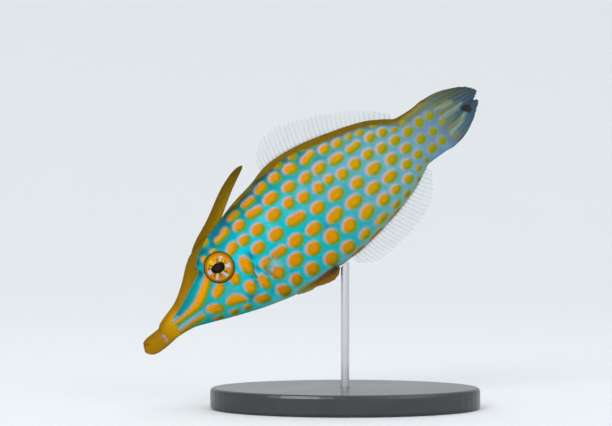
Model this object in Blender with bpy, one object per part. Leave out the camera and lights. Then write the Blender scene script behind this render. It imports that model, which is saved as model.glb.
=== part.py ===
"""A life-size harlequin filefish (Oxymonacanthus longirostris): a still model on a small display stand.

The fish is drawn in a frame of its own, in hundredths of its total length: x runs from the tip of the
snout back to the tip of the tail, y across the fish and z up its depth. An empty then turns the whole fish
nose down and puts its belly on the stand's rod. The origin is the middle of the base's underside. Metres,
+Z up.
"""

import math

import bmesh
import bpy
from mathutils import Matrix, Vector

# Driving dimensions, in metres and radians
TOTAL_LENGTH = 0.100
NOSE_DOWN = math.radians(37.4)
JOINT_GAP = 0.0003
SNOUT_HEIGHT = 0.0142
BASE_LENGTH = 0.064
BASE_WIDTH = 0.038
BASE_THICKNESS = 0.005
BASE_BEVEL = 0.0008
ROD_DIAMETER = 0.002
ROD_SOCKET_DEPTH = 0.003

# The fish's own unit, and in it the joint's gap and the wider one under a fin, for the curve between rays
HUNDREDTH = TOTAL_LENGTH / 100
GAP = JOINT_GAP / HUNDREDTH
FIN_GAP = 1.1 * GAP

LEFT, RIGHT = -1, 1

# The body's outline at each station: its place along the fish, the height of the back, the height of the
# belly, the half width, and the height at which it is widest
STATIONS = (
    (-0.2, -0.5, -1.3, 0.4, -0.9),
    (0.0, -0.1, -1.65, 0.65, -0.9),
    (0.6, 1.0, -2.3, 1.1, -0.8),
    (1.3, 1.45, -2.7, 1.35, -0.7),
    (3.0, 1.6, -3.0, 1.55, -0.6),
    (4.5, 1.6, -3.0, 1.5, -0.5),
    (5.45, 1.65, -2.95, 1.35, -0.4),
    (6.5, 2.35, -2.85, 1.55, -0.2),
    (8.0, 2.9, -2.75, 1.65, 0.0),
    (12.0, 4.1, -3.15, 2.0, 0.5),
    (16.0, 6.5, -4.6, 2.6, 1.0),
    (20.0, 9.7, -6.3, 3.3, 1.5),
    (22.0, 10.9, -7.1, 3.65, 1.7),
    (24.0, 11.4, -7.9, 3.95, 1.8),
    (30.0, 12.6, -10.0, 4.7, 2.0),
    (38.0, 14.3, -12.0, 5.55, 2.0),
    (46.0, 15.75, -12.55, 5.8, 2.0),
    (50.0, 16.9, -12.8, 5.6, 2.0),
    (54.0, 16.75, -12.8, 5.3, 1.8),
    (58.0, 16.15, -12.45, 4.9, 1.6),
    (66.0, 14.0, -11.15, 3.95, 1.2),
    (74.0, 11.15, -9.0, 2.85, 0.7),
    (78.0, 8.75, -7.25, 2.3, 0.5),
    (80.5, 7.15, -6.2, 1.95, 0.4),
    (85.0, 6.7, -6.3, 1.5, 0.2),
    (87.6, 6.9, -6.65, 1.2, 0.1),
)
# Half width of the flat strip along the back and the belly, which the fins stand on
KEEL = ((0.0, 0.15), (10.0, 0.3), (26.0, 0.5), (80.0, 0.5), (87.6, 0.4))
# How quickly the flank falls away from its widest point: 1 is an ellipse
FULLNESS = ((0.0, 0.95), (15.0, 0.95), (40.0, 1.2), (87.6, 1.1))
RING_HALF = 13

# Where the body is parted, and how far apart its rings stand
JAWS_END = 5.3
SNOUT_END = 14.0
HEAD_END = 32.85
TRUNK_END = 79.0
STALK_END = 87.6
JAWS_RINGS = 11
JAWS_CROWDING = 1.7
SNOUT_STEP, HEAD_STEP, TRUNK_STEP = 1.2, 1.7, 2.3

# The mouth: its corner, its line down from the tip of the snout, and the rolls of the lips
MOUTH_CORNER = Vector((1.75, 0.0, -0.05))
MOUTH_LINE = Vector((2.0, 0.0, -1.0)).normalized()
MOUTH_NORMAL = Vector((1.0, 0.0, 2.0)).normalized()
MOUTH_REACH = 4.0
MOUTH_OPENING = 0.3
LIP_RADIUS = 0.32
LIP_SUNK = 0.14
LIP_SHARE_AT_CORNER = 0.5

# The eye: the middle of its outer circle, its radius, its half depth, how far its middle lies under the
# skin, and the roll of skin round it
EYE_X, EYE_Z = 25.8, 4.4
EYE_RADIUS = 3.75
EYE_HALF_DEPTH = 2.0
EYE_SUNK = 0.95
EYE_RIM_RADIUS = 4.05
EYE_RIM_ROLL = 0.4
EYE_RIM_POINTS = 32

# Nostrils, as (x, z) on the flank, and the gill slit from its top to its foot
NOSTRILS = ((21.4, 6.5), (20.9, 7.5))
NOSTRIL_MOUND = 0.55
NOSTRIL_PIT = 0.3
GILL_SLIT = ((32.1, -0.7), (31.8, -2.2), (31.0, -3.8), (29.5, -5.6))
GILL_HALF_WIDTH = 0.22
GILL_DEPTH = 0.9
GILL_SHARES = (0.6, 1.0, 1.0, 0.6)

# Fins of the back and the belly: rays, their first and last foot, ray lengths and lean by place, and the wave
DORSAL_RAYS = 32
DORSAL_BASE = (47.4, 79.2)
DORSAL_LENGTHS = ((47.4, 2.6), (49.5, 5.2), (53.0, 6.3), (61.0, 5.4), (69.0, 3.7), (79.2, 1.1))
ANAL_RAYS = 29
ANAL_BASE = (52.3, 78.8)
ANAL_LENGTHS = ((52.3, 2.2), (54.5, 4.2), (58.0, 5.2), (67.0, 5.6), (74.0, 4.2), (78.8, 1.4))
FIN_LEAN = ((47.0, 6.0), (60.0, 14.0), (80.0, 38.0))
FIN_WAVES = ((1.7, 0.6), (3.1, 0.4))
FIN_WAVE_HEIGHT = 1.0
FIN_ROWS = (0.0, 0.36, 0.7, 1.0)
FIN_BEND = 0.12
WEB_SHARE = 0.9
RAY_HALF = (0.42, 0.24)
WEB_HALF = (0.27, 0.2)

# The flap of skin under the belly
FLAP_RAYS = 9
FLAP_BASE = (36.6, 48.1)
FLAP_DEPTHS = ((36.6, 0.25), (40.0, 1.2), (43.0, 1.75), (45.5, 1.85), (47.3, 1.3), (48.1, 0.5))
FLAP_LEAN = ((36.0, 20.0), (49.0, 5.0))

# The first dorsal spine: a stiff blade with a web behind it that comes down to the back
SPINE_FRONT = ((24.1, 12.15), (28.0, 13.9), (32.0, 16.0), (36.0, 18.3), (40.0, 19.95), (45.1, 20.85))
SPINE_WEB = ((34.0, 13.95), (36.0, 15.3), (40.0, 17.65), (42.0, 19.0), (45.1, 20.6))
SPINE_ROOT_END = 34.0
SPINE_ROOT_WIDTH = 0.5
SPINE_COLUMNS = 15
SPINE_TIP_SHARE = 0.5
SPINE_LEAST_HALF = 0.18
SPINE_ROWS = ((0.0, 0.22), (0.16, 0.55), (0.4, 0.58), (0.62, 0.3), (1.0, 0.25))

# The tail fin, nearly shut: the place of each ray's tip by its place in the fan, from -1 below to 1 above
TAIL_RAYS = 12
TAIL_TIPS = (
    (-1.0, 95.0, -4.15),
    (-0.7, 97.1, -2.6),
    (-0.35, 98.8, -1.1),
    (-0.12, 97.2, -0.5),
    (0.1, 99.0, 0.35),
    (0.35, 99.9, 1.0),
    (0.7, 98.5, 2.75),
    (1.0, 96.7, 4.05),
)
TAIL_ROOT_HALF_HEIGHT = 6.65
TAIL_ROOT_MIDDLE = 0.1
TAIL_ROWS = (0.0, 0.16, 0.4, 0.65, 0.85, 1.0)
TAIL_DRAW_IN = 2.0
TAIL_WEB_SHORT = 0.35
TAIL_ROOT_HALF = (0.35, 0.85)

# The pectoral fin: its foot from top to bottom, how its rays spread in degrees, and how far it stands off
PECTORAL_RAYS = 11
PECTORAL_TOP = (34.2, -1.9)
PECTORAL_FOOT = (34.8, -4.1)
PECTORAL_SPREAD = (30.0, -66.0)
PECTORAL_OFF = 30.0
PECTORAL_LENGTHS = ((0.0, 5.2), (0.25, 6.6), (0.6, 6.6), (1.0, 4.4))
PECTORAL_ROWS = (0.0, 0.3, 0.65, 1.0)
PECTORAL_SUNK = 0.7
PECTORAL_ROOT_HALF = 0.55
PECTORAL_FLANK = (29.0, 45.0)

# The point of the belly that the stand's rod comes up to
ROD_STATION = 50.2
ROD_BELLY = (43.0, 57.0)
ROD_PAST_BELLY = 0.004
ROD_SEGMENTS, BASE_SEGMENTS = 24, 64

MATERIALS = {
    "orange_skin": ((0.85, 0.22, 0.04), 0.45, 0.0),
    "teal_skin": ((0.06, 0.42, 0.42), 0.45, 0.0),
    "pale_skin": ((0.42, 0.52, 0.62), 0.45, 0.0),
    "clear_fin": ((0.62, 0.68, 0.70), 0.35, 0.0),
    "ochre_spine": ((0.62, 0.36, 0.10), 0.5, 0.0),
    "orange_eye": ((0.85, 0.30, 0.04), 0.15, 0.0),
    "dark_base": ((0.03, 0.03, 0.035), 0.35, 0.0),
    "steel_rod": ((0.62, 0.63, 0.65), 0.25, 1.0),
}


def smooth(points, at, column=1):
    """A column of the points read at a place along the first: a cubic curve that never swings past them."""
    if at <= points[0][0]:
        return points[0][column]
    if at >= points[-1][0]:
        return points[-1][column]
    slopes = [(b[column] - a[column]) / (b[0] - a[0]) for a, b in zip(points, points[1:])]
    tangents = [slopes[0]]
    for before, after in zip(slopes, slopes[1:]):
        tangents.append(2 * before * after / (before + after) if before * after > 0 else 0.0)
    tangents.append(slopes[-1])
    near = max(k for k, point in enumerate(points) if point[0] <= at)
    span = points[near + 1][0] - points[near][0]
    share = (at - points[near][0]) / span
    start, end = points[near][column], points[near + 1][column]
    rise = share * share * (3 - 2 * share)
    leave = share * (1 - share) ** 2 * span * tangents[near]
    arrive = share * share * (share - 1) * span * tangents[near + 1]
    return start + (end - start) * rise + leave + arrive


def between(start, end, share):
    return start + (end - start) * share


def steps(start, end, size):
    """Even places from start to end, about a step's size apart."""
    count = max(1, round((end - start) / size))
    return [between(start, end, k / count) for k in range(count + 1)]


def back(x):
    return smooth(STATIONS, x, 1)


def belly(x):
    return smooth(STATIONS, x, 2)


def flank(x, z):
    """Half width of the body at a place along it and a height."""
    widest = smooth(STATIONS, x, 4)
    reach = (back(x) if z > widest else belly(x)) - widest
    rise = min(abs((z - widest) / reach), 1.0)
    keel = smooth(KEEL, x)
    return keel + (smooth(STATIONS, x, 3) - keel) * math.sqrt(1 - rise * rise) ** smooth(FULLNESS, x)


def on_flank(x, z, side, lift=0.0):
    return Vector((x, side * flank(x, z), z)) + flank_normal(x, z, side) * lift


def flank_normal(x, z, side):
    """The flank's outward direction."""
    reach = 0.3
    along = Vector((2 * reach, side * (flank(x + reach, z) - flank(x - reach, z)), 0.0))
    up = Vector((0.0, side * (flank(x, z + reach) - flank(x, z - reach)), 2 * reach))
    return (up.cross(along) * side).normalized()


def material(name):
    """The named material, made once."""
    if name in bpy.data.materials:
        return bpy.data.materials[name]
    colour, roughness, metallic = MATERIALS[name]
    made = bpy.data.materials.new(name)
    made.use_nodes = True
    shader = made.node_tree.nodes["Principled BSDF"]
    shader.inputs["Base Color"].default_value = (*colour, 1.0)
    shader.inputs["Roughness"].default_value = roughness
    shader.inputs["Metallic"].default_value = metallic
    return made


def linked(name, mesh, finish=None):
    made = bpy.data.objects.new(name, mesh)
    bpy.context.scene.collection.objects.link(made)
    if finish:
        mesh.materials.append(material(finish))
    return made


def solid(name, points, faces, finish=None):
    """An object from points in hundredths of the length, with its faces turned outwards."""
    mesh = bpy.data.meshes.new(name)
    mesh.from_pydata([Vector(point) * HUNDREDTH for point in points], [], faces)
    shell = bmesh.new()
    shell.from_mesh(mesh)
    bmesh.ops.recalc_face_normals(shell, faces=shell.faces)
    shell.to_mesh(mesh)
    shell.free()
    return linked(name, mesh, finish)


def rows_of_rings(name, rings, closed=False, finish=None):
    """A solid through rings of equally many points: capped at both ends, or closed on itself."""
    count = len(rings[0])
    points = [point for ring in rings for point in ring]
    total = len(points)
    faces = [] if closed else [tuple(range(count)), tuple(range(total - count, total))]
    for near in range(0, total if closed else total - count, count):
        for k in range(count):
            after = (k + 1) % count
            far = (near + count) % total
            faces.append((near + k, near + after, far + after, far + k))
    return solid(name, points, faces, finish)


def body_ring(x, grow=0.0):
    """The body's outline across the fish, with a flat strip on the back and the belly."""
    widest = smooth(STATIONS, x, 4)
    keel = smooth(KEEL, x) + grow
    width = smooth(STATIONS, x, 3) + grow
    ring = []
    for side in (RIGHT, LEFT):
        for step in range(RING_HALF):
            turn = side * math.pi * (step / (RING_HALF - 1) - 0.5)
            reach = back(x) + grow - widest if math.sin(turn) > 0 else widest - belly(x) + grow
            out = keel + (width - keel) * abs(math.cos(turn)) ** smooth(FULLNESS, x)
            ring.append(Vector((x, side * out, widest + reach * math.sin(turn))))
    return ring


def body_length(name, places, finish=None, grow=0.0):
    """The body from the first place along it to the last, with a ring at each."""
    return rows_of_rings(name, [body_ring(x, grow) for x in places], finish=finish)


def tube(name, path, normals, sizes, sides, closed=False):
    """A tube along a path: sizes holds its half height along the normal and its half width at each point."""
    rings = []
    last = len(path) - 1
    for k, (middle, normal, (height, width)) in enumerate(zip(path, normals, sizes)):
        before = path[k - 1] if k or closed else path[0]
        after = path[(k + 1) % len(path)] if k < last or closed else path[last]
        across = (after - before).cross(normal).normalized()
        out = across.cross(after - before).normalized()
        turns = [2 * math.pi * step / sides for step in range(sides)]
        rings.append([middle + out * height * math.cos(a) + across * width * math.sin(a) for a in turns])
    return rows_of_rings(name, rings, closed)


def ball(name, middle, radii, axes=None, segments=16, rings=8):
    """An ellipsoid with its own axes, in hundredths of the length."""
    shell = bmesh.new()
    bmesh.ops.create_uvsphere(shell, u_segments=segments, v_segments=rings, radius=1.0)
    turn = (axes or Matrix.Identity(3)).to_4x4()
    place = Matrix.Translation(middle * HUNDREDTH) @ turn @ Matrix.Diagonal((*radii, 1.0))
    place = place @ Matrix.Rotation(math.pi / 2, 4, "X")
    scale = Matrix.Diagonal((HUNDREDTH, HUNDREDTH, HUNDREDTH, 1.0))
    bmesh.ops.transform(shell, matrix=place @ scale, verts=shell.verts)
    mesh = bpy.data.meshes.new(name)
    shell.to_mesh(mesh)
    shell.free()
    return linked(name, mesh)


def settle(piece):
    """Applies the piece's modifiers."""
    bpy.context.view_layer.update()
    graph = bpy.context.evaluated_depsgraph_get()
    made = bpy.data.meshes.new_from_object(piece.evaluated_get(graph))
    piece.modifiers.clear()
    piece.data = made


def keep_largest(piece):
    """Drops every closed surface but the largest."""
    shell = bmesh.new()
    shell.from_mesh(piece.data)
    waiting = set(shell.faces)
    islands = []
    while waiting:
        edge = [waiting.pop()]
        island = []
        while edge:
            face = edge.pop()
            island.append(face)
            touching = {other for side in face.edges for other in side.link_faces} & waiting
            waiting -= touching
            edge += touching
        islands.append(island)
    islands.sort(key=lambda island: sum(face.calc_area() for face in island))
    for island in islands[:-1]:
        bmesh.ops.delete(shell, geom=island, context="FACES")
    shell.to_mesh(piece.data)
    shell.free()


def combine(piece, others, operation):
    """One Boolean of the piece with a collection of closed solids, which it uses up."""
    tools = bpy.data.collections.new(piece.name + "_tools")
    for other in others:
        tools.objects.link(other)
    boolean = piece.modifiers.new(operation.title(), "BOOLEAN")
    boolean.operation = operation
    boolean.operand_type = "COLLECTION"
    boolean.collection = tools
    settle(piece)
    for other in others:
        bpy.data.objects.remove(other)
    bpy.data.collections.remove(tools)
    keep_largest(piece)


def smooth_shaded(piece, angle=40.0):
    piece.data.shade_smooth()
    piece.data.set_sharp_from_angle(angle=math.radians(angle))


def lip(name, rise):
    """A roll of skin along one edge of the mouth, on the skin from one corner round the tip to the other."""
    start = MOUTH_CORNER + MOUTH_NORMAL * rise

    def height(x):
        return start.z + (x - start.x) * MOUTH_LINE.z / MOUTH_LINE.x

    inside, outside = start.x, STATIONS[0][0]
    while inside - outside > GAP / 10:
        x = (inside + outside) / 2
        inside, outside = (x, outside) if back(x) > height(x) else (inside, x)
    path, normals, sizes = [], [], []
    for degrees in range(-90, 91, 15):
        away = 1 - math.cos(math.radians(degrees))
        x = between(inside, start.x, away) + LIP_SUNK
        side = flank(x, height(x)) - LIP_SUNK
        path.append(Vector((x, side * (degrees > 0) - side * (degrees < 0), height(x))))
        size = LIP_RADIUS * between(1.0, LIP_SHARE_AT_CORNER, away)
        sizes.append((size, size))
    return tube(name, path, [MOUTH_NORMAL] * len(path), sizes, sides=10)


def mouth_slit():
    """The thin gap between the lips, right across the snout, as a flat box."""
    corners = []
    for along in (0.0, -MOUTH_REACH):
        for side in (-MOUTH_REACH, MOUTH_REACH):
            for rise in (-MOUTH_OPENING / 2, MOUTH_OPENING / 2):
                corners.append(MOUTH_CORNER + MOUTH_LINE * along + Vector((0, side, 0)) + MOUTH_NORMAL * rise)
    faces = [(0, 1, 3, 2), (4, 6, 7, 5), (0, 4, 5, 1), (2, 3, 7, 6), (0, 2, 6, 4), (1, 5, 7, 3)]
    return solid("mouth_slit", corners, faces)


def jaws():
    """The front of the snout, with two rolled lips and the mouth's line between them."""
    tip = STATIONS[0][0]
    places = [between(tip, JAWS_END, (k / JAWS_RINGS) ** JAWS_CROWDING) for k in range(JAWS_RINGS + 1)]
    piece = body_length("jaws", places, "orange_skin")
    rise = LIP_RADIUS + MOUTH_OPENING / 2
    lips = [lip("upper_lip", rise), lip("lower_lip", -rise)]
    combine(piece, lips, "UNION")
    combine(piece, [mouth_slit()], "DIFFERENCE")
    return piece


def snout():
    return body_length("snout", steps(JAWS_END + GAP, SNOUT_END, SNOUT_STEP), "orange_skin")


def eye_axes(side):
    """The eye's own axes: across it, out of the head and up."""
    out = flank_normal(EYE_X, EYE_Z, side)
    up = Vector((0.0, 0.0, 1.0))
    up = (up - out * up.dot(out)).normalized()
    return Matrix((out.cross(up), out, up)).transposed()


def eyeball(name, side, grow=0.0, segments=28, rings=14):
    radii = (EYE_RADIUS + grow, EYE_HALF_DEPTH + grow, EYE_RADIUS + grow)
    middle = on_flank(EYE_X, EYE_Z, side, -EYE_SUNK)
    return ball(name, middle, radii, eye_axes(side), segments, rings)


def eye_rim(side):
    """A low roll of skin round the eye, lying on the flank."""
    turns = [2 * math.pi * k / EYE_RIM_POINTS for k in range(EYE_RIM_POINTS)]
    spots = [(EYE_X + EYE_RIM_RADIUS * math.cos(a), EYE_Z + EYE_RIM_RADIUS * math.sin(a)) for a in turns]
    path = [on_flank(x, z, side) for x, z in spots]
    normals = [flank_normal(x, z, side) for x, z in spots]
    return tube("eye_rim", path, normals, [(EYE_RIM_ROLL, EYE_RIM_ROLL)] * len(path), sides=6, closed=True)


def gill_slit(side):
    """The cutter for the short slanting gill opening before the pectoral fin."""
    path = [on_flank(x, z, side) for x, z in GILL_SLIT]
    normals = [flank_normal(x, z, side) for x, z in GILL_SLIT]
    sizes = [(GILL_DEPTH * share, GILL_HALF_WIDTH * share) for share in GILL_SHARES]
    return tube("gill_slit", path, normals, sizes, sides=8)


def nostril(x, z, side, radius):
    middle = on_flank(x, z, side)
    return ball("nostril", middle, (radius, radius, radius), segments=8, rings=5)


def head():
    """The head with the rims and sockets of its eyes, two nostrils a side and the gill slits."""
    piece = body_length("head", steps(SNOUT_END + GAP, HEAD_END, HEAD_STEP), "teal_skin")
    raised, cut = [], []
    for side in (LEFT, RIGHT):
        raised.append(eye_rim(side))
        cut += [eyeball("socket", side, GAP), gill_slit(side)]
        for x, z in NOSTRILS:
            raised.append(nostril(x, z, side, NOSTRIL_MOUND))
            pit = nostril(x, z, side, NOSTRIL_PIT)
            pit.location = flank_normal(x, z, side) * NOSTRIL_MOUND * HUNDREDTH
            cut.append(pit)
    combine(piece, raised, "UNION")
    combine(piece, cut, "DIFFERENCE")
    return piece


def eye(name, side):
    piece = eyeball(name, side)
    piece.data.materials.append(material("orange_eye"))
    return piece


def trunk():
    return body_length("trunk", steps(HEAD_END + GAP, TRUNK_END, TRUNK_STEP), "teal_skin")


def tail_stalk():
    return body_length("tail_stalk", steps(TRUNK_END + GAP, STALK_END, TRUNK_STEP / 2), "pale_skin")


def sheet(name, middles, halves, normals, finish):
    """A thin closed fin from columns of middle points, split into triangles alike on both faces."""
    columns, rows = len(middles), len(middles[0])
    points = []
    for way in (1, -1):
        for column, half, normal in zip(middles, halves, normals):
            points += [middle + normal * (way * size) for middle, size in zip(column, half)]

    def at(face, column, row):
        return (face * columns + column) * rows + row

    faces = []
    for face in (0, 1):
        for c in range(columns - 1):
            for r in range(rows - 1):
                near, far = at(face, c, r), at(face, c + 1, r + 1)
                faces += [(near, at(face, c + 1, r), far), (near, far, at(face, c, r + 1))]
    rim = [(c, 0) for c in range(columns)] + [(columns - 1, r) for r in range(1, rows)]
    rim += [(c, rows - 1) for c in reversed(range(columns - 1))]
    rim += [(0, r) for r in reversed(range(1, rows - 1))]
    for here, after in zip(rim, rim[1:] + rim[:1]):
        faces.append((at(0, *here), at(0, *after), at(1, *after), at(1, *here)))
    return solid(name, points, faces, finish)


def ray_halves(is_ray, rows):
    """Half thickness from foot to tip: thick on a ray, thin on the web between two."""
    foot, tip = RAY_HALF if is_ray else WEB_HALF
    return [between(foot, tip, row) for row in rows]


def edge_fin(name, edge, up, rays, base, lengths, leans, wave, finish):
    """A fin of rays along the back (up is 1) or the belly (up is -1), from its foot out to its tips."""
    middles, halves = [], []
    for column in range(2 * rays - 1):
        share = column / (2 * rays - 2)
        is_ray = column % 2 == 0
        x = between(*base, share)
        foot = Vector((x, 0.0, edge(x) + up * FIN_GAP))
        lean = math.radians(smooth(leans, x))
        length = smooth(lengths, x) * (1.0 if is_ray else WEB_SHARE)
        swing = wave * sum(high * math.sin(2 * math.pi * waves * share) for waves, high in FIN_WAVES)
        points = []
        for row in FIN_ROWS:
            out = length * row
            along = out * math.sin(lean) + FIN_BEND * length * row * row
            side = swing * row * row
            points.append(foot + Vector((along, side, up * out * math.cos(lean))))
        middles.append(points)
        halves.append(ray_halves(is_ray, FIN_ROWS))
    return sheet(name, middles, halves, [Vector((0, 1, 0))] * len(middles), finish)


def dorsal_fin():
    sizes = (DORSAL_RAYS, DORSAL_BASE, DORSAL_LENGTHS, FIN_LEAN, FIN_WAVE_HEIGHT)
    return edge_fin("dorsal_fin", back, 1, *sizes, "clear_fin")


def anal_fin():
    sizes = (ANAL_RAYS, ANAL_BASE, ANAL_LENGTHS, FIN_LEAN, -FIN_WAVE_HEIGHT)
    return edge_fin("anal_fin", belly, -1, *sizes, "clear_fin")


def belly_flap():
    sizes = (FLAP_RAYS, FLAP_BASE, FLAP_DEPTHS, FLAP_LEAN, 0.0)
    return edge_fin("belly_flap", belly, -1, *sizes, "orange_skin")


def dorsal_spine():
    """The blade of the first dorsal spine: a thick leading edge and a thin web down to the back."""
    middles, halves = [], []
    for column in range(SPINE_COLUMNS):
        share = column / (SPINE_COLUMNS - 1)
        front_x = between(SPINE_FRONT[0][0], SPINE_FRONT[-1][0], share)
        front = Vector((front_x, 0.0, smooth(SPINE_FRONT, front_x)))
        rear_x = between(SPINE_FRONT[0][0] + SPINE_ROOT_WIDTH, SPINE_FRONT[-1][0], share)
        rear_z = back(rear_x) + FIN_GAP if rear_x < SPINE_ROOT_END else smooth(SPINE_WEB, rear_x)
        rear = Vector((rear_x, 0.0, rear_z))
        taper = between(1.0, SPINE_TIP_SHARE, share ** 2)
        middles.append([front.lerp(rear, row) for row, half in SPINE_ROWS])
        halves.append([max(half * taper, SPINE_LEAST_HALF) for row, half in SPINE_ROWS])
    return sheet("dorsal_spine", middles, halves, [Vector((0, 1, 0))] * len(middles), "ochre_spine")


def tail_fin():
    """The tail fin, its rays drawn together towards a blunt tip with a small notch."""
    middles, halves = [], []
    for column in range(2 * TAIL_RAYS + 1):
        place = column / TAIL_RAYS - 1
        is_ray = column % 2 == 1
        foot = Vector((STALK_END + GAP, 0.0, TAIL_ROOT_MIDDLE + TAIL_ROOT_HALF_HEIGHT * place))
        tip = Vector((smooth(TAIL_TIPS, place, 1), 0.0, smooth(TAIL_TIPS, place, 2)))
        if not is_ray:
            tip.x -= TAIL_WEB_SHORT
        root = between(*TAIL_ROOT_HALF, math.sqrt(1 - place * place))
        points, sizes = [], []
        for row, half in zip(TAIL_ROWS, ray_halves(is_ray, TAIL_ROWS)):
            z = between(foot.z, tip.z, row ** TAIL_DRAW_IN)
            points.append(Vector((between(foot.x, tip.x, row), 0.0, z)))
            sizes.append(between(root, half, min(row / TAIL_ROWS[2], 1.0)))
        middles.append(points)
        halves.append(sizes)
    return sheet("tail_fin", middles, halves, [Vector((0, 1, 0))] * len(middles), "pale_skin")


def pectoral_fin(name, side):
    """A small clear fan behind the gill slit, standing off the flank."""
    middles, halves, normals = [], [], []
    off = math.radians(PECTORAL_OFF)
    for column in range(2 * PECTORAL_RAYS - 1):
        share = column / (2 * PECTORAL_RAYS - 2)
        is_ray = column % 2 == 0
        angle = math.radians(between(*PECTORAL_SPREAD, share))
        along = Vector((math.cos(angle), 0.0, math.sin(angle)))
        across = Vector((-math.sin(angle), 0.0, math.cos(angle)))
        ray = along * math.cos(off) + Vector((0.0, side * math.sin(off), 0.0))
        foot = on_flank(*(between(a, b, share) for a, b in zip(PECTORAL_TOP, PECTORAL_FOOT)), side)
        length = smooth(PECTORAL_LENGTHS, share) * (1.0 if is_ray else WEB_SHARE)
        middles.append([foot + ray * between(-PECTORAL_SUNK, length, row) for row in PECTORAL_ROWS])
        root, *outer = ray_halves(is_ray, PECTORAL_ROWS)
        halves.append([PECTORAL_ROOT_HALF, *outer])
        normals.append(ray.cross(across).normalized())
    piece = sheet(name, middles, halves, normals, "clear_fin")
    room = body_length("room_for_flank", steps(*PECTORAL_FLANK, TRUNK_STEP / 2), grow=GAP)
    combine(piece, [room], "DIFFERENCE")
    return piece


def rod_foot():
    """The belly point over the rod, in the fish's frame."""
    return Vector((ROD_STATION, 0.0, belly(ROD_STATION))) * HUNDREDTH


def fish_pose():
    """The empty that tips the fish nose down, with the rod's belly point straight above the origin."""
    pose = bpy.data.objects.new("fish_pose", None)
    bpy.context.scene.collection.objects.link(pose)
    pose.rotation_euler = (0.0, -NOSE_DOWN, 0.0)
    above = Matrix.Rotation(-NOSE_DOWN, 3, "Y") @ rod_foot()
    pose.location = (-above.x, 0.0, SNOUT_HEIGHT)
    return pose


def cylinder(name, radius, bottom, top, segments, finish=None):
    shell = bmesh.new()
    bmesh.ops.create_cone(
        shell, cap_ends=True, segments=segments, radius1=radius, radius2=radius, depth=top - bottom
    )
    bmesh.ops.translate(shell, vec=(0.0, 0.0, (bottom + top) / 2), verts=shell.verts)
    mesh = bpy.data.meshes.new(name)
    shell.to_mesh(mesh)
    shell.free()
    return linked(name, mesh, finish)


def stand_base():
    """An oval plate with a broken edge and a socket for the rod."""
    piece = cylinder("stand_base", BASE_LENGTH / 2, 0.0, BASE_THICKNESS, BASE_SEGMENTS, "dark_base")
    piece.data.transform(Matrix.Diagonal((1.0, BASE_WIDTH / BASE_LENGTH, 1.0, 1.0)))
    bevel = piece.modifiers.new("Bevel", "BEVEL")
    bevel.width = BASE_BEVEL
    bevel.segments = 2
    bevel.limit_method = "ANGLE"
    bevel.angle_limit = math.radians(60)
    bottom = BASE_THICKNESS - ROD_SOCKET_DEPTH
    socket = cylinder("rod_socket", ROD_DIAMETER / 2 + JOINT_GAP, bottom, BASE_THICKNESS * 2, ROD_SEGMENTS)
    combine(piece, [socket], "DIFFERENCE")
    return piece


def stand_rod(pose):
    """A round rod from its socket in the base up to the belly, its top cut to the belly's slope."""
    top = SNOUT_HEIGHT + (Matrix.Rotation(-NOSE_DOWN, 3, "Y") @ rod_foot()).z + ROD_PAST_BELLY
    bottom = BASE_THICKNESS - ROD_SOCKET_DEPTH + JOINT_GAP
    piece = cylinder("stand_rod", ROD_DIAMETER / 2, bottom, top, ROD_SEGMENTS, "steel_rod")
    room = body_length("room_for_belly", steps(*ROD_BELLY, TRUNK_STEP / 2), grow=GAP)
    room.parent = pose
    combine(piece, [room], "DIFFERENCE")
    return piece


def main():
    for old in list(bpy.data.objects):
        bpy.data.objects.remove(old)
    pose = fish_pose()
    fish = [jaws(), snout(), head(), trunk(), tail_stalk(), tail_fin(), dorsal_fin(), anal_fin()]
    fish += [dorsal_spine(), belly_flap()]
    for name, side in (("left", LEFT), ("right", RIGHT)):
        fish += [eye("eye_" + name, side), pectoral_fin("pectoral_fin_" + name, side)]
    for piece in fish:
        piece.parent = pose
    for piece in [*fish, stand_base(), stand_rod(pose)]:
        smooth_shaded(piece)


main()
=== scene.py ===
"""The looks of a life-size harlequin filefish on a plain display stand.

The fish is modelled level, in hundredths of its length, which are millimetres: x runs from the tip of the
snout back to the tip of the tail, y across the fish and h up its depth. Each finished piece is then turned
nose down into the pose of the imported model, with its place kept in its mesh.
"""

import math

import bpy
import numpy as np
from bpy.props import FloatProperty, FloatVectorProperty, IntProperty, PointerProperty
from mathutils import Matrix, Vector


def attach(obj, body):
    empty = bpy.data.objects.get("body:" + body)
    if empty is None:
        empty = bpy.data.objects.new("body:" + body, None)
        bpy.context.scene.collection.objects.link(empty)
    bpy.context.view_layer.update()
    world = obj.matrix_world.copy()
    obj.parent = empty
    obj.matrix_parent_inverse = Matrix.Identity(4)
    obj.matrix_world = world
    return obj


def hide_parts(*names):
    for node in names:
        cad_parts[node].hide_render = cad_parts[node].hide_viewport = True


bl_info = {
    "name": "Harlequin Filefish Model",
    "version": (1, 0, 0),
    "blender": (4, 5, 0),
    "location": "View3D > Sidebar > Filefish",
    "description": "Skin, eyes, fins, stand and stage of a life-size harlequin filefish",
    "category": "Object",
}

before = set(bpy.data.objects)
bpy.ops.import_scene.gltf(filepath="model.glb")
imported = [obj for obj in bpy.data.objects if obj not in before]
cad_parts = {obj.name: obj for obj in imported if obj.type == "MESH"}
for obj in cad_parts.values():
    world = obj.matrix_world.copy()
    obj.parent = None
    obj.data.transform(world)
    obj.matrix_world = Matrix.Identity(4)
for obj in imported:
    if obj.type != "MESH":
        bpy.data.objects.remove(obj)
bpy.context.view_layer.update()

LEFT, RIGHT = -1, 1
# Place along the fish and height that the middle of the camera's view falls on, and how far off their
# places the markings were measured
VIEW_MIDDLE = (50.15, 1.94)
MARKS_OFF = (0.12, -0.06)

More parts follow.
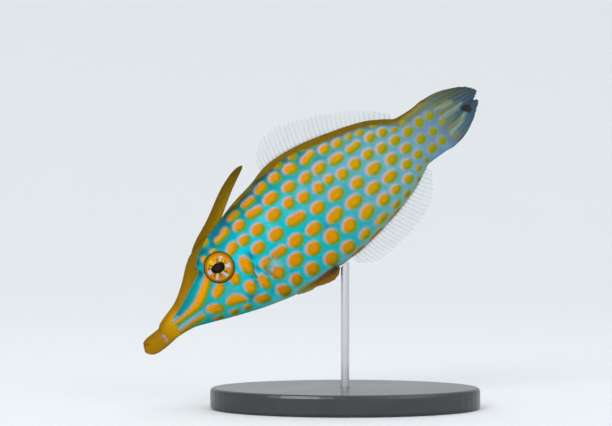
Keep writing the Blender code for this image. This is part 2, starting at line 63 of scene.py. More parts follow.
# The body's outline at each station: place along the fish, height of the back, height of the belly, half
# width, and the height at which it is widest. The last rows run on inside the root of the tail fin.
STATIONS = (
    (-0.34, -0.86, -0.94, 0.04, -0.9),
    (-0.3, -0.7, -1.1, 0.2, -0.9),
    (-0.2, -0.5, -1.3, 0.4, -0.9),
    (0.0, -0.1, -1.65, 0.65, -0.9),
    (0.6, 1.0, -2.3, 1.1, -0.8),
    (1.3, 1.45, -2.7, 1.35, -0.7),
    (3.0, 1.6, -3.0, 1.55, -0.6),
    (4.5, 1.6, -3.0, 1.5, -0.5),
    (5.45, 1.65, -2.95, 1.35, -0.4),
    (6.5, 2.35, -2.85, 1.55, -0.2),
    (8.0, 2.9, -2.75, 1.65, 0.0),
    (12.0, 4.1, -3.15, 2.0, 0.5),
    (16.0, 6.5, -4.6, 2.6, 1.0),
    (20.0, 9.7, -6.3, 3.3, 1.5),
    (22.0, 10.9, -7.1, 3.65, 1.7),
    (24.0, 11.4, -7.9, 3.95, 1.8),
    (30.0, 12.6, -10.0, 4.7, 2.0),
    (38.0, 14.65, -12.0, 5.55, 2.0),
    (44.0, 15.68, -12.5, 5.8, 2.0),
    (46.5, 16.38, -12.6, 5.78, 2.0),
    (48.5, 16.8, -12.7, 5.7, 2.0),
    (50.5, 16.95, -12.8, 5.6, 2.0),
    (54.0, 16.75, -12.8, 5.3, 1.8),
    (58.0, 16.15, -12.45, 4.9, 1.6),
    (66.0, 14.0, -11.15, 3.95, 1.2),
    (74.0, 11.15, -9.0, 2.85, 0.7),
    (78.0, 8.75, -7.25, 2.3, 0.5),
    (80.5, 7.15, -6.2, 1.95, 0.4),
    (85.0, 6.7, -6.3, 1.5, 0.2),
    (87.6, 6.85, -6.6, 1.15, 0.1),
    (88.8, 6.55, -6.35, 0.8, 0.1),
    (89.8, 5.8, -5.6, 0.36, 0.1),
    (90.4, 5.0, -4.8, 0.12, 0.1),
)
# The half width of the keels on the back and the belly, how full the flanks stand between them, and the
# share of a quarter turn's cosine over which a keel is rounded
KEEL = ((-0.34, 0.02), (0.0, 0.15), (10.0, 0.3), (26.0, 0.5), (80.0, 0.5), (87.6, 0.4), (90.4, 0.03))
FULLNESS = ((0.0, 0.95), (15.0, 0.95), (40.0, 1.2), (87.6, 1.1))
KEEL_ROUND = 0.2

# The skin's rings: where each stretch ends and how far apart its rings stand
RING_STRETCHES = ((2.2, 0.36), (5.5, 0.8), (34.0, 0.95), (87.6, 1.3), (90.4, 0.6))

# The mouth: its corner, its line down and back from the tip of the snout, the way up from that line,
# and the place along the fish that its groove ends before
MOUTH_CORNER = np.array((1.75, -0.05))
MOUTH_LINE = np.array((2.0, -1.0)) / math.sqrt(5)
MOUTH_NORMAL = np.array((1.0, 2.0)) / math.sqrt(5)
MOUTH_REACH = 2.4

# The eye: its middle, its radius, its half depth, how far its middle lies under the skin, the height of
# the dome on its front, and the radius of its rim
EYE = (26.05, 4.37)
EYE_RADIUS = 3.75
EYE_HALF_DEPTH = 2.0
EYE_SUNK = 0.95
EYE_DOME = 0.07
EYE_RIM = 4.0
# How far the rim stays under the eye's plane and how far out its brow reaches, and the socket's depth
# and the radius of its floor
RIM_UNDER_EYE = 0.35
BROW_REACH = 6.0
SOCKET_DEPTH = 1.7
SOCKET_FLOOR = 3.2
# The pupil's place in the eye, its half length and half height, how square its oval is and the angle of
# its dent. Then the pale bars of the iris, with the angle of each, its width and where it starts and
# ends, and the angles of the dark ticks and of the yellow patch
PUPIL = (-0.17, -0.03)
PUPIL_HALF = (1.75, 1.22)
PUPIL_POWER = 2.4
PUPIL_DENT = 218
EYE_BARS = (
    (-21, 0.95, 1.85, 3.1), (-76, 0.7, 1.6, 2.95), (-133, 0.7, 1.65, 2.8), (170, 1.15, 1.8, 2.9),
    (40, 0.55, 2.0, 2.85),
)
EYE_TICKS = (8, 62, 125, 146, 205, 255, 305)
YELLOW_PATCH = 103

# The middles of the nostrils, and the line of the gill slit
NOSTRILS = ((21.9, 6.4), (21.4, 7.6))
GILL_SLIT = ((32.9, 0.3), (32.5, -0.7), (31.8, -1.7), (31.5, -2.9))

# The orange spots, mostly in rows from the back down: place, height, length, depth, and the tilt in
# degrees where one has it, its rear end up
SPOTS = (
    (35.9, 12.1, 3.4, 1.7), (45.1, 13.3, 3.4, 2.2, 5), (49.3, 13.2, 3.0, 2.4, -20),
    (53.5, 12.7, 3.5, 2.4, -22), (62.7, 11.5, 2.6, 2.1, -8), (66.1, 10.7, 2.5, 1.9, -15),
    (69.2, 10.4, 1.6, 1.5), (71.8, 9.6, 1.9, 1.4, -20), (75.2, 9.1, 1.5, 0.9, -25),
    (51.6, 15.3, 1.8, 1.7), (55.7, 14.9, 1.9, 2.0), (35.7, 9.3, 3.1, 2.4), (45.6, 9.9, 4.0, 2.5),
    (50.7, 9.4, 3.3, 2.4, -10), (55.1, 8.8, 3.1, 2.4, 5), (59.1, 8.6, 3.2, 2.4), (73.1, 7.1, 2.4, 2.0),
    (76.1, 6.3, 2.1, 2.1), (78.7, 5.1, 1.6, 1.2, -20), (81.3, 5.2, 1.5, 0.9),
    (31.1, 6.1, 3.4, 2.3, 22), (34.5, 5.9, 2.9, 2.3), (38.6, 6.0, 3.3, 2.7), (43.8, 6.4, 3.7, 2.8),
    (48.3, 6.5, 2.7, 2.6), (51.9, 5.4, 3.0, 2.7), (56.1, 5.0, 2.6, 2.8), (59.3, 5.1, 2.4, 2.1),
    (62.6, 4.2, 2.6, 2.6), (66.4, 4.3, 2.9, 2.7), (70.2, 4.3, 2.6, 2.3), (73.7, 3.4, 2.6, 2.2),
    (77.3, 3.0, 2.5, 2.0), (81.1, 2.7, 2.6, 1.9, 5), (84.5, 2.9, 2.1, 2.3, -30), (87.4, 2.6, 1.8, 1.9),
    (36.2, 2.4, 3.5, 2.6), (41.4, 2.4, 3.8, 2.9), (53.1, 1.4, 3.5, 2.8), (58.5, 1.3, 3.9, 2.8),
    (64.1, 0.4, 3.2, 2.5), (69.3, 0.7, 3.6, 2.6), (74.0, -0.1, 2.8, 2.4), (78.3, -0.2, 2.5, 2.2),
    (82.4, -0.5, 2.3, 2.0), (85.8, -0.8, 1.9, 1.7), (35.4, -1.4, 3.0, 2.2, 3), (44.2, -1.6, 3.8, 3.0),
    (49.3, -2.0, 3.9, 2.9), (55.25, -2.5, 4.4, 2.75, 8), (60.8, -2.7, 4.1, 2.7),
    (66.4, -2.9, 3.6, 2.5), (71.2, -3.2, 3.6, 2.3), (76.1, -3.2, 2.5, 2.1), (79.7, -3.0, 2.1, 1.9),
    (83.2, -3.9, 2.4, 1.8, 5), (86.2, -3.8, 1.8, 1.8), (36.3, -5.1, 3.2, 3.1), (41.4, -5.2, 3.8, 3.2),
    (46.4, -5.6, 3.7, 3.2), (51.6, -6.1, 3.5, 3.6), (56.5, -6.5, 3.6, 3.1, 15),
    (61.8, -6.5, 4.0, 2.7, 15), (66.7, -6.6, 3.1, 2.4, 15), (70.4, -6.4, 2.5, 2.0),
    (74.3, -6.2, 2.4, 2.0), (77.8, -5.6, 1.6, 1.2, 15), (80.4, -5.2, 1.1, 0.9),
    (29.6, -7.7, 3.9, 2.1, -28), (34.8, -9.2, 3.5, 2.6, -48), (38.7, -9.0, 2.9, 2.8),
    (43.3, -9.3, 3.3, 3.1, -20), (48.4, -10.1, 3.5, 3.1), (53.2, -10.4, 3.4, 2.8),
    (58.2, -10.3, 3.0, 1.8, 10), (63.5, -9.8, 3.9, 1.4, 8), (68.3, -9.2, 2.5, 1.2, 10),
    (71.9, -8.7, 1.9, 1.1, 15), (76.3, -7.7, 1.1, 0.8, 20), (22.5, 0.12, 3.75, 2.45, 22),
    (27.3, 0.1, 2.5, 3.1, -10), (31.3, 1.0, 2.75, 4.7, -6), (29.0, -3.8, 2.7, 3.2),
    (19.2, -2.8, 4.2, 2.3, -36), (32.4, -4.8, 2.3, 4.0), (18.4, -4.9, 2.8, 0.9, -24),
    (22.4, -6.1, 2.6, 1.2, -24), (25.5, -7.1, 2.3, 1.3, -24), (26.7, 11.2, 2.2, 1.4, 12),
    (24.2, 8.15, 1.7, 1.2, 25), (27.1, 8.25, 1.9, 1.1, -22), (38.9, 14.45, 2.6, 0.8, 14),
    (42.3, 15.05, 2.4, 0.9, 8), (34.2, 13.6, 1.6, 0.4, 20), (54.2, -12.6, 3.8, 0.9, 2),
    (60.2, -12.05, 4.4, 0.8, 7), (66.5, -10.9, 4.0, 0.5, 10), (88.8, -0.5, 1.7, 1.0),
)

# Orange strokes on the snout, the cheek and the flank: place, height and half width along each
STROKES = (
    ((9.0, 0.05, 0.55), (12.0, 0.08, 0.5), (14.0, 0.14, 0.7), (16.0, 0.4, 0.97), (17.5, 0.9, 1.06),
     (19.0, 1.76, 1.06), (20.5, 2.72, 1.03), (22.2, 3.88, 0.93), (24.0, 4.9, 0.85)),
    ((9.0, -2.2, 0.6), (11.0, -2.25, 0.5), (13.0, -2.3, 0.55), (15.6, -2.5, 0.66)),
    ((29.45, 9.7, 0.72), (30.9, 9.75, 0.68), (32.2, 10.25, 0.95)),
    ((39.7, 12.4, 0.8), (40.75, 12.4, 0.8), (41.75, 12.5, 0.8)),
    ((57.4, 12.0, 0.95), (58.5, 12.3, 0.82), (59.45, 12.45, 0.85)),
    ((39.5, 9.75, 1.05), (40.6, 9.6, 0.98), (41.5, 9.55, 1.02)),
    ((62.8, 7.95, 0.98), (63.6, 7.88, 1.04), (64.4, 7.85, 0.98)),
    ((67.5, 7.65, 0.88), (68.5, 7.6, 0.8), (69.55, 7.7, 0.85)),
    ((46.3, 2.5, 1.3), (47.5, 2.38, 1.28), (48.7, 2.3, 1.22)),
    ((38.4, -1.3, 1.05), (39.4, -1.45, 1.05), (40.3, -1.4, 1.12)),
    ((31.9, -1.3, 0.2), (31.8, -2.0, 0.14), (31.9, -3.2, 0.2)),
    ((23.1, -3.7, 1.0), (24.2, -3.8, 1.25), (25.3, -4.45, 1.05), (26.2, -5.5, 0.5)),
    ((58.6, 15.0, 0.5), (61.0, 14.2, 0.35), (64.0, 13.4, 0.2)),
)
# The depths of spot at which the pale halo starts and is full, a stroke's halo, and the side of a spot
# that faces the light from above, a little towards the snout. The halo is mostly a painted highlight over
# that lit side, and the foot of the spot away from it gets painted shade
HALO_DEPTHS = (0.8, 2.0)
STROKE_HALO = 0.85
LIT_SIDE = (-0.39, 0.92)
# Pale strokes beside those of the snout, and the lilac mark behind the jaws
PALE_STROKES = (
    ((9.8, -1.4, 0.45), (12.0, -1.35, 0.42), (14.0, -1.3, 0.3), (16.6, -1.35, 0.12)),
    ((9.9, 1.0, 0.28), (11.0, 1.1, 0.16)),
)
LILAC_STROKES = (((5.5, -0.3, 0.12), (5.75, -0.85, 0.22), (5.8, -1.3, 0.02), (5.75, -1.75, 0.2)),)
# The lower edge of the orange forehead, the place where the band along the ridge of the back takes
# over, the depth of that band, and the place where the orange of the snout ends
FOREHEAD_EDGE = (
    (9.3, 1.0), (10.0, 1.35), (12.0, 2.15), (14.0, 2.9), (16.0, 3.8), (18.0, 4.75), (20.0, 5.65),
    (21.3, 6.5), (21.9, 8.1), (23.0, 9.15), (24.5, 10.15), (26.0, 10.85), (28.0, 11.75), (30.0, 12.3),
    (34.0, 13.4), (38.0, 14.1), (41.0, 14.45), (44.0, 14.9),
)
RIDGE_START = 44.0
RIDGE_DEPTH = (
    (44.0, 0.1), (46.0, 0.7), (48.0, 1.25), (50.5, 1.4), (53.5, 1.05), (57.0, 1.2), (60.0, 1.55),
    (64.0, 1.45), (68.0, 1.25), (74.0, 1.2), (78.0, 1.05), (80.5, 0.8), (84.0, 0.5), (91.4, 0.35),
)
SNOUT_EDGE = 9.6
# Yellow streaks over the root of the tail fin, and the pale bands between them
STREAKS = (
    ((89.3, 4.0, 0.12), (90.4, 3.7, 0.16)),
    ((91.5, 3.4, 0.1), (92.5, 3.0, 0.36)),
    ((89.1, 2.1, 0.2), (89.8, 1.6, 0.38), (91.5, 1.45, 0.2), (94.0, 1.0, 0.08)),
    ((88.2, -0.55, 0.42), (89.3, -0.6, 0.36), (90.2, -0.7, 0.12), (91.8, -0.5, 0.12)),
    ((88.6, -3.0, 0.26), (89.4, -2.4, 0.32), (91.2, -2.3, 0.26), (93.0, -2.0, 0.08)),
    ((88.5, -4.9, 0.2), (89.4, -4.9, 0.36), (90.2, -4.8, 0.15)),
)
PALE_BANDS = (
    ((89.4, 3.0, 0.3), (91.0, 2.6, 0.35), (93.2, 2.3, 0.2)),
    ((88.9, 0.6, 0.3), (91.0, 0.6, 0.4), (93.6, 0.4, 0.3), (95.0, 0.6, 0.05)),
    ((88.8, -3.7, 0.3), (90.6, -3.2, 0.25), (92.4, -2.7, 0.35), (94.3, -1.8, 0.3)),
)
# The dark line between the fin's lobes, which ends in the blotch
TAIL_SHADES = (
    ((91.0, -1.7, -0.1), (92.6, -1.6, 0.02), (94.4, -1.1, 0.2)),
    ((94.9, -0.75, 0.5), (96.6, -0.45, 0.35), (99.4, -0.6, 0.25)),
)

# Pale patches of the ground between the spots: place, height, radius and strength
PALE_PATCHES = (
    (41.2, 7.9, 1.9, 0.8), (40.9, 4.8, 1.5, 0.7), (46.3, 8.1, 1.6, 0.5), (52.6, 7.4, 2.2, 0.9),
    (57.2, 6.9, 2.0, 0.6), (61.2, 6.4, 1.8, 0.6), (65.0, 6.2, 2.0, 0.6), (50.7, 4.0, 1.3, 0.5),
    (37.3, -3.2, 1.3, 0.7), (55.5, 3.2, 1.5, 0.5), (61.0, 3.1, 1.5, 0.5), (24.9, -1.6, 1.8, 0.95),
    (47.2, 4.5, 1.5, 0.6), (16.5, -2.0, 1.4, 0.4), (20.5, -1.7, 1.5, 0.4), (67.0, 2.3, 1.8, 0.6),
    (72.3, 2.2, 2.0, 0.7), (72.5, -1.5, 2.0, 0.8), (63.0, -4.8, 1.6, 0.3), (69.0, -4.9, 2.0, 0.5),
    (38.5, -11.2, 1.8, 0.4), (42.5, -10.8, 1.4, 0.4), (51.0, -11.9, 2.0, 0.3),
)

# Dark patches of the ground: painted shadow about the gill slit and the root of the pectoral fin, and
# deeper ground about the eye, near the back and elsewhere
DEEP_AND_SHADOW_PATCHES = (
    (33.3, -1.3, 0.9, 0.8), (33.7, -3.6, 0.7, 0.7), (30.9, -3.9, 1.0, 1.0), (28.3, -5.8, 1.7, 1.0),
    (33.5, 2.0, 1.3, 0.9), (29.9, 11.0, 1.6, 0.8), (35.2, 0.5, 0.9, 0.4), (43.0, 13.9, 1.5, 0.6),
    (35.3, -7.2, 1.0, 0.35), (52.0, -4.0, 1.7, 0.55), (33.0, -7.3, 1.3, 0.6), (62.8, 13.4, 1.2, 0.4),
    (30.95, -1.9, 0.8, 0.85), (39.3, -7.0, 0.9, 0.4), (21.5, 6.0, 1.2, 1.0), (22.7, 8.5, 1.5, 1.0),
    (25.0, 9.6, 2.0, 1.0), (28.4, 9.6, 1.6, 0.75), (33.0, 12.1, 1.3, 0.6), (30.6, 11.4, 1.0, 0.5),
)

# The orange-brown skin round the root of the pectoral fin
PECTORAL_STAIN = (((34.3, -2.4, 0.2), (34.8, -3.4, 0.3), (34.95, -4.6, 0.42), (35.2, -5.9, 0.3)),)

# Fins of the back and the belly: the rays, the first and last foot and the ray lengths by place. Then,
# for both, the lean by place, the waves, the bend, the depth of the root, and the half thickness of the
# web and of the rays over it, each at the foot and at the edge
DORSAL_RAYS = 32
DORSAL_BASE = (47.4, 79.2)
DORSAL_LENGTHS = ((47.4, 2.6), (49.5, 5.2), (53.0, 6.3), (61.0, 5.4), (69.0, 3.7), (79.2, 1.1))
ANAL_RAYS = 29
ANAL_BASE = (52.3, 78.8)
ANAL_LENGTHS = ((52.3, 2.2), (54.5, 4.2), (58.0, 5.2), (67.0, 5.6), (74.0, 4.2), (78.8, 1.4))
FIN_LEAN = ((47.0, 6.0), (60.0, 14.0), (80.0, 38.0))
FIN_WAVES = ((1.7, 0.6), (3.1, 0.4))
FIN_WAVE_HEIGHT = 1.0
FIN_BEND = 0.12
FIN_ROOT = 0.35
FIN_WEB = (0.07, 0.045)
FIN_RAY = (0.14, 0.05)

# The flap under the belly, with the half thickness of its web at the foot and at the edge, and of its
# rays
FLAP_RAYS = 9
FLAP_BASE = (36.6, 48.5)
FLAP_DEPTHS = (
    (36.6, 0.25), (38.6, 0.85), (40.2, 1.05), (40.8, 0.95), (43.0, 1.6), (45.3, 2.0), (47.0, 1.55),
    (48.0, 0.85), (48.5, 0.3),
)
FLAP_LEAN = ((36.0, 20.0), (49.0, 5.0))
FLAP_ROOT = 0.7
FLAP_WEB = (0.5, 0.14)
FLAP_RAY = 0.12

# The spine of the back: the points and the rings of its blade, the power that crowds the rings towards
# the tip, its half thickness at the root and the tip, and the length of its rounded tip
SPINE_POINTS = 36
SPINE_RINGS = 44
SPINE_CROWDING = 1.4
SPINE_HALF = (0.58, 0.3)
SPINE_TIP = 1.6
# The barbs up each side of it, how far they stay off its root and its tip, the way they aim as shares
# aside, up and down the spine, where one is rooted, as a share of the half thickness and a depth, and the
# bends of one as shift, rise and taper
SPINE_BARBS = 26
BARB_ENDS = (4.5, 1.4)
BARB_AIM = (0.8, 0.45, 0.3)
BARB_ROOT = (0.72, 0.32)
BARB_BENDS = ((0.03, 0.12, 0.65), (0.07, 0.09, 0.4), (0.08, 0.05, 0.3))
# The height of the spine's front and of the rear edge of its web by place
SPINE_FRONT = (
    (22.0, 10.6), (23.0, 11.5), (24.2, 12.3), (26.0, 13.25), (28.0, 14.1), (30.0, 15.0), (32.0, 16.05),
    (34.0, 17.2), (36.0, 18.3), (38.0, 19.25), (40.0, 20.0), (42.0, 20.55), (43.4, 20.72),
    (44.3, 20.6), (44.8, 20.3),
)
SPINE_WEB = (
    (22.0, 9.8), (26.0, 11.0), (30.0, 12.2), (33.0, 13.25), (34.0, 13.85), (36.0, 15.1), (38.0, 16.35),
    (40.0, 17.5), (42.0, 18.55), (43.4, 19.25), (44.3, 19.75), (44.8, 20.15),
)

# The tail fin: its rays, its edge by share of its height as place and height, its root, the power that
# draws its rays together, and the half thickness of its web and of its rays
TAIL_RAYS = 12
TAIL_TIPS = (
    (-1.0, 95.2, -4.2), (-0.7, 97.3, -2.7), (-0.4, 98.8, -1.4), (-0.24, 98.7, -0.95),
    (-0.12, 98.0, -0.55), (0.0, 98.9, -0.05), (0.3, 99.9, 0.8), (0.7, 98.6, 2.75), (1.0, 96.7, 4.15),
)
TAIL_ROOT = 87.9
TAIL_ROOT_HALF_HEIGHT = 6.6
TAIL_ROOT_MIDDLE = 0.1
TAIL_DRAW_IN = 2.0
TAIL_ROOT_WEB = (0.3, 0.75)
TAIL_WEB = 0.1
TAIL_RAY = (0.14, 0.07)
# The dark blotch in the notch of the tail, and the bluish shadow beside it
TAIL_BLOTCH = (95.5, -1.5)
BLOTCH_SHADOW = (94.8, -0.7)

# The left pectoral fin: its rays, both ends of its root, the angles of its first and last ray, its
# angle off the flank, its ray lengths by share of the root, how deep its root sits, its curl, and its
# half thickness
PECTORAL_RAYS = 11
PECTORAL_TOP = (34.2, -1.9)
PECTORAL_FOOT = (34.9, -5.2)
PECTORAL_SPREAD = (28.0, -60.0)
PECTORAL_OFF = 30.0
PECTORAL_LENGTHS = ((0.0, 5.2), (0.25, 6.6), (0.6, 6.6), (1.0, 4.4))
PECTORAL_SUNK = 0.6
PECTORAL_CURL = 0.5
PECTORAL_WEB = (0.22, 0.045)
PECTORAL_RAY = (0.12, 0.06)

# The studio's floor and the sweep round it, in metres
FLOOR_RADIUS = 0.4
SWEEP_CURVE = 1.2
SWEEP_STEPS = 18
# The soft lights: place from the middle of the fish, size in metres and share of the main light's power
STAGE_MIDDLE = (-0.009, 0.0, 0.0462)
LIGHTS = (
    ("key_light", (-0.5, -1.0, 0.7), 0.6, 1.0),
    ("fill_light", (0.8, -0.9, 0.7), 0.8, 0.4),
    ("top_light", (0.0, 0.1, 1.5), 1.6, 1.2),
)
SKY_TINT = (0.9, 0.95, 1.0, 1.0)
# The camera: lens and sensor in millimetres, and how far it stands aside and over the middle in metres
CAMERA_LENS = 100.0
SENSOR_WIDTH = 36.0
CAMERA_ASIDE = -0.00027
CAMERA_OVER = 0.00011


class FishSizes(bpy.types.PropertyGroup):
    """The sizes of the fish and of the detail in its skin."""

    total_length: FloatProperty(
        name="Total length", description="Tip of the snout to the tip of the tail", unit="LENGTH",
        default=0.1,
    )
    nose_down: FloatProperty(
        name="Nose down", description="Slope of the fish's long axis", subtype="ANGLE",
        default=math.radians(37.4),
    )
    snout_height: FloatProperty(
        name="Snout height", description="Height of the snout's tip over the shelf", unit="LENGTH",
        default=0.0142,
    )
    rod_station: FloatProperty(
        name="Rod station", description="Place along the fish over the rod, in hundredths of its length",
        default=50.2,
    )
    ring_points: IntProperty(
        name="Ring points", description="Points round the body before it is subdivided", default=56,
    )
    spot_wobble: FloatProperty(
        name="Spot wobble", description="How far a spot's edge strays, in millimetres", default=0.14,
    )


class FishColours(bpy.types.PropertyGroup):
    """The colours of the fish."""

    orange: FloatVectorProperty(
        name="Orange", description="Spots of the front body", subtype="COLOR",
        default=(0.605, 0.233, 0.001),
    )
    amber: FloatVectorProperty(
        name="Amber", description="Spots of the rear body", subtype="COLOR", default=(0.555, 0.27, 0.001),
    )
    moss: FloatVectorProperty(
        name="Moss", description="Spots of the tail stalk", subtype="COLOR", default=(0.23, 0.225, 0.003),
    )
    mustard: FloatVectorProperty(
        name="Mustard", description="Snout and forehead", subtype="COLOR", default=(0.335, 0.165, 0.001),
    )
    teal: FloatVectorProperty(
        name="Teal", description="Ground between the spots", subtype="COLOR", default=(0.003, 0.38, 0.42),
    )
    # Laid near the back as painted shade, and as the ground's own deep tone in its mottling and beside the
    # forehead band
    deep_teal: FloatVectorProperty(
        name="Deep teal", description="Ground near the back", subtype="COLOR",
        default=(0.001, 0.15, 0.17),
    )
    pale_cyan: FloatVectorProperty(
        name="Pale cyan", description="Pale patches of the ground", subtype="COLOR",
        default=(0.085, 0.54, 0.57),
    )
    mist: FloatVectorProperty(
        name="Mist", description="Grey-blue ground of the stalk", subtype="COLOR",
        default=(0.125, 0.21, 0.325),
    )
    # Laid over the lit top of each spot as a painted highlight
    blush_highlight: FloatVectorProperty(
        name="Blush", description="Pinkish white edge over each spot", subtype="COLOR",
        default=(0.46, 0.355, 0.425),
    )


class StageSettings(bpy.types.PropertyGroup):
    """The floor, the light and the camera."""

    distance: FloatProperty(
        name="Camera distance", description="Camera to the fish's middle plane", unit="LENGTH",
        default=0.403,
    )
    floor_colour: FloatVectorProperty(
        name="Floor", description="Colour of the floor and the cove", subtype="COLOR",
        default=(0.74, 0.75, 0.76),
    )
    key_power: FloatProperty(
        name="Key light", description="Power of the main soft light in watts", default=6.5,
    )
    sky: FloatProperty(name="Sky", description="Strength of the light all round", default=0.72)


# The outline of the fish

def smooth(points, at, column=1):
    """A column of the points at places along the first: a cubic curve that never swings past them."""
    table = np.array(points, float)
    x, y = table[:, 0], table[:, column]
    slope = np.diff(y) / np.diff(x)
    same_way = slope[:-1] * slope[1:] > 0
    total = np.where(same_way, slope[:-1] + slope[1:], 1.0)
    inner = np.where(same_way, 2 * slope[:-1] * slope[1:] / total, 0.0)
    tangent = np.concatenate((slope[:1], inner, slope[-1:]))
    at = np.clip(np.asarray(at, float), x[0], x[-1])
    near = np.clip(np.searchsorted(x, at, side="right") - 1, 0, len(x) - 2)
    span = x[near + 1] - x[near]
    share = (at - x[near]) / span
    rise = share * share * (3 - 2 * share)
    leave = share * (1 - share) ** 2 * span * tangent[near]
    arrive = share * share * (share - 1) * span * tangent[near + 1]
    return y[near] + (y[near + 1] - y[near]) * rise + leave + arrive


def step_up(values, low, high):
    """0 below low, 1 above high and smooth between, for an array."""
    share = np.clip((values - low) / (high - low), 0.0, 1.0)
    return share * share * (3 - 2 * share)


def hill(values, width):
    """1 at 0, falling off smoothly over a width on both sides."""
    return np.exp(-((values / width) ** 2))


def between(start, end, share):
    return start + (end - start) * share


def back(x):
    return smooth(STATIONS, x, 1)


def belly(x):
    return smooth(STATIONS, x, 2)


def flank(x, h):
    """Half width of the body at places along it and heights."""
    widest = smooth(STATIONS, x, 4)
    reach = np.where(h > widest, back(x), belly(x)) - widest
    rise = np.clip(np.abs((h - widest) / reach), 0.0, 1.0)
    keel = smooth(KEEL, x)
    return keel + (smooth(STATIONS, x, 3) - keel) * np.sqrt(1 - rise * rise) ** smooth(FULLNESS, x)


def flank_normal(x, h, side):
    """The flank's outward direction at one place."""
    reach = 0.3
    along = Vector((2 * reach, side * float(flank(x + reach, h) - flank(x - reach, h)), 0.0))
    up = Vector((0.0, side * float(flank(x, h + reach) - flank(x, h - reach)), 2 * reach))
    return (up.cross(along) * side).normalized()


def on_flank(x, h, side):
    return Vector((x, side * float(flank(x, h)), h))


def sizes():
    return bpy.context.scene.filefish_sizes


def colours():
    return bpy.context.scene.filefish_colours


def hundredth():
    """A hundredth of the fish's length in metres."""
    return sizes().total_length / 100


def pose_matrix():
    """From the level fish, in metres, to its place on the stand."""
    turn = Matrix.Rotation(-sizes().nose_down, 4, "Y")
    station = sizes().rod_station
    foot = turn @ (Vector((station, 0.0, float(belly(station)))) * hundredth())
    return Matrix.Translation((-foot.x, 0.0, sizes().snout_height)) @ turn


def seen_from_front(points):
    """Places in the fish's middle plane that the camera sees behind points of the flank.

    The markings were measured in that plane, so each mark is looked up at the place it was seen at.
    """
    nearer = np.abs(points[:, 1]) * hundredth() / bpy.context.scene.filefish_stage.distance
    middle = np.array(VIEW_MIDDLE)
    return (middle + np.array(MARKS_OFF) + (points[:, (0, 2)] - middle) / (1 - nearer)[:, None]).T


# Working in Blender

def deselect():
    if bpy.context.object and bpy.context.object.mode != "OBJECT":
        bpy.ops.object.mode_set(mode="OBJECT")
    bpy.ops.object.select_all(action="DESELECT")


def only(piece):
    """Selects one piece and makes it active."""
    deselect()
    piece.select_set(True)
    bpy.context.view_layer.objects.active = piece


def named(name):
    """The primitive just added, under its own name."""
    piece = bpy.context.object
    piece.name = name
    piece.data.name = name
    return piece


def coordinates(piece):
    """The piece's points in hundredths of the fish's length."""
    flat = np.empty(len(piece.data.vertices) * 3)
    piece.data.vertices.foreach_get("co", flat)
    return flat.reshape(-1, 3) / hundredth()


def place_points(piece, points):
    piece.data.vertices.foreach_set("co", (points * hundredth()).ravel())
    piece.data.update()


def directions(piece):
    flat = np.empty(len(piece.data.vertices) * 3, np.float32)
    piece.data.vertex_normals.foreach_get("vector", flat)
    return flat.reshape(-1, 3).astype(float)


def store(piece, **fields):
    """Keeps numbers for each point under the names that the material reads."""
    for name, values in fields.items():
        layer = piece.data.attributes.new(name, "FLOAT", "POINT")
        layer.data.foreach_set("value", np.asarray(values, np.float32))


def subdivide_where(piece, chosen, cuts):
    """Subdivides the faces whose middles are chosen, in edit mode."""
    only(piece)
    bpy.ops.object.mode_set(mode="EDIT")
    bpy.ops.mesh.select_mode(type="FACE")
    bpy.ops.mesh.select_all(action="DESELECT")
    bpy.ops.object.mode_set(mode="OBJECT")
    centres = np.empty(len(piece.data.polygons) * 3)
    piece.data.polygons.foreach_get("center", centres)
    sides = np.empty(len(piece.data.polygons), int)
    piece.data.polygons.foreach_get("loop_total", sides)
    picked = chosen(centres.reshape(-1, 3) / hundredth()) & (sides == 4)
    piece.data.polygons.foreach_set("select", picked)
    bpy.ops.object.mode_set(mode="EDIT")
    bpy.ops.mesh.subdivide(number_cuts=cuts, smoothness=0)
    bpy.ops.object.mode_set(mode="OBJECT")


def outward(piece):
    """Turns every face of a closed piece outwards."""
    only(piece)
    bpy.ops.object.mode_set(mode="EDIT")
    bpy.ops.mesh.select_all(action="SELECT")
    bpy.ops.mesh.normals_make_consistent(inside=False)
    bpy.ops.object.mode_set(mode="OBJECT")


def join(name, pieces):
    """Joins pieces into one."""
    only(pieces[0])
    for piece in pieces:
        piece.select_set(True)
    bpy.ops.object.join()
    return named(name)


def finish(piece, material, replaced=(), posed=True):
    """Turns a level piece into the pose, paints it and sets it on the stand's body."""
    if posed:
        piece.matrix_world = pose_matrix() @ piece.matrix_world
    only(piece)
    bpy.ops.object.transform_apply(location=True, rotation=True, scale=True)
    bpy.ops.object.shade_smooth()
    piece.data.materials.clear()
    piece.data.materials.append(material)
    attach(piece, "root")
    if replaced:
        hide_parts(*replaced)
    return piece


def copied(piece, name):
    """A copy of a piece under its own name, with its own mesh."""
    copy = piece.copy()
    copy.data = piece.data.copy()
    copy.name = name
    copy.data.name = name
    bpy.context.scene.collection.objects.link(copy)
    return copy


def mirrored(piece, name, node):
    """A finished left piece copied to the fish's right side."""
    copy = copied(piece, name)
    copy.data.transform(Matrix.Scale(-1, 4, (0.0, 1.0, 0.0)))
    outward(copy)
    return finish(copy, copy.data.materials[0], (node,), posed=False)


# Materials as expressions

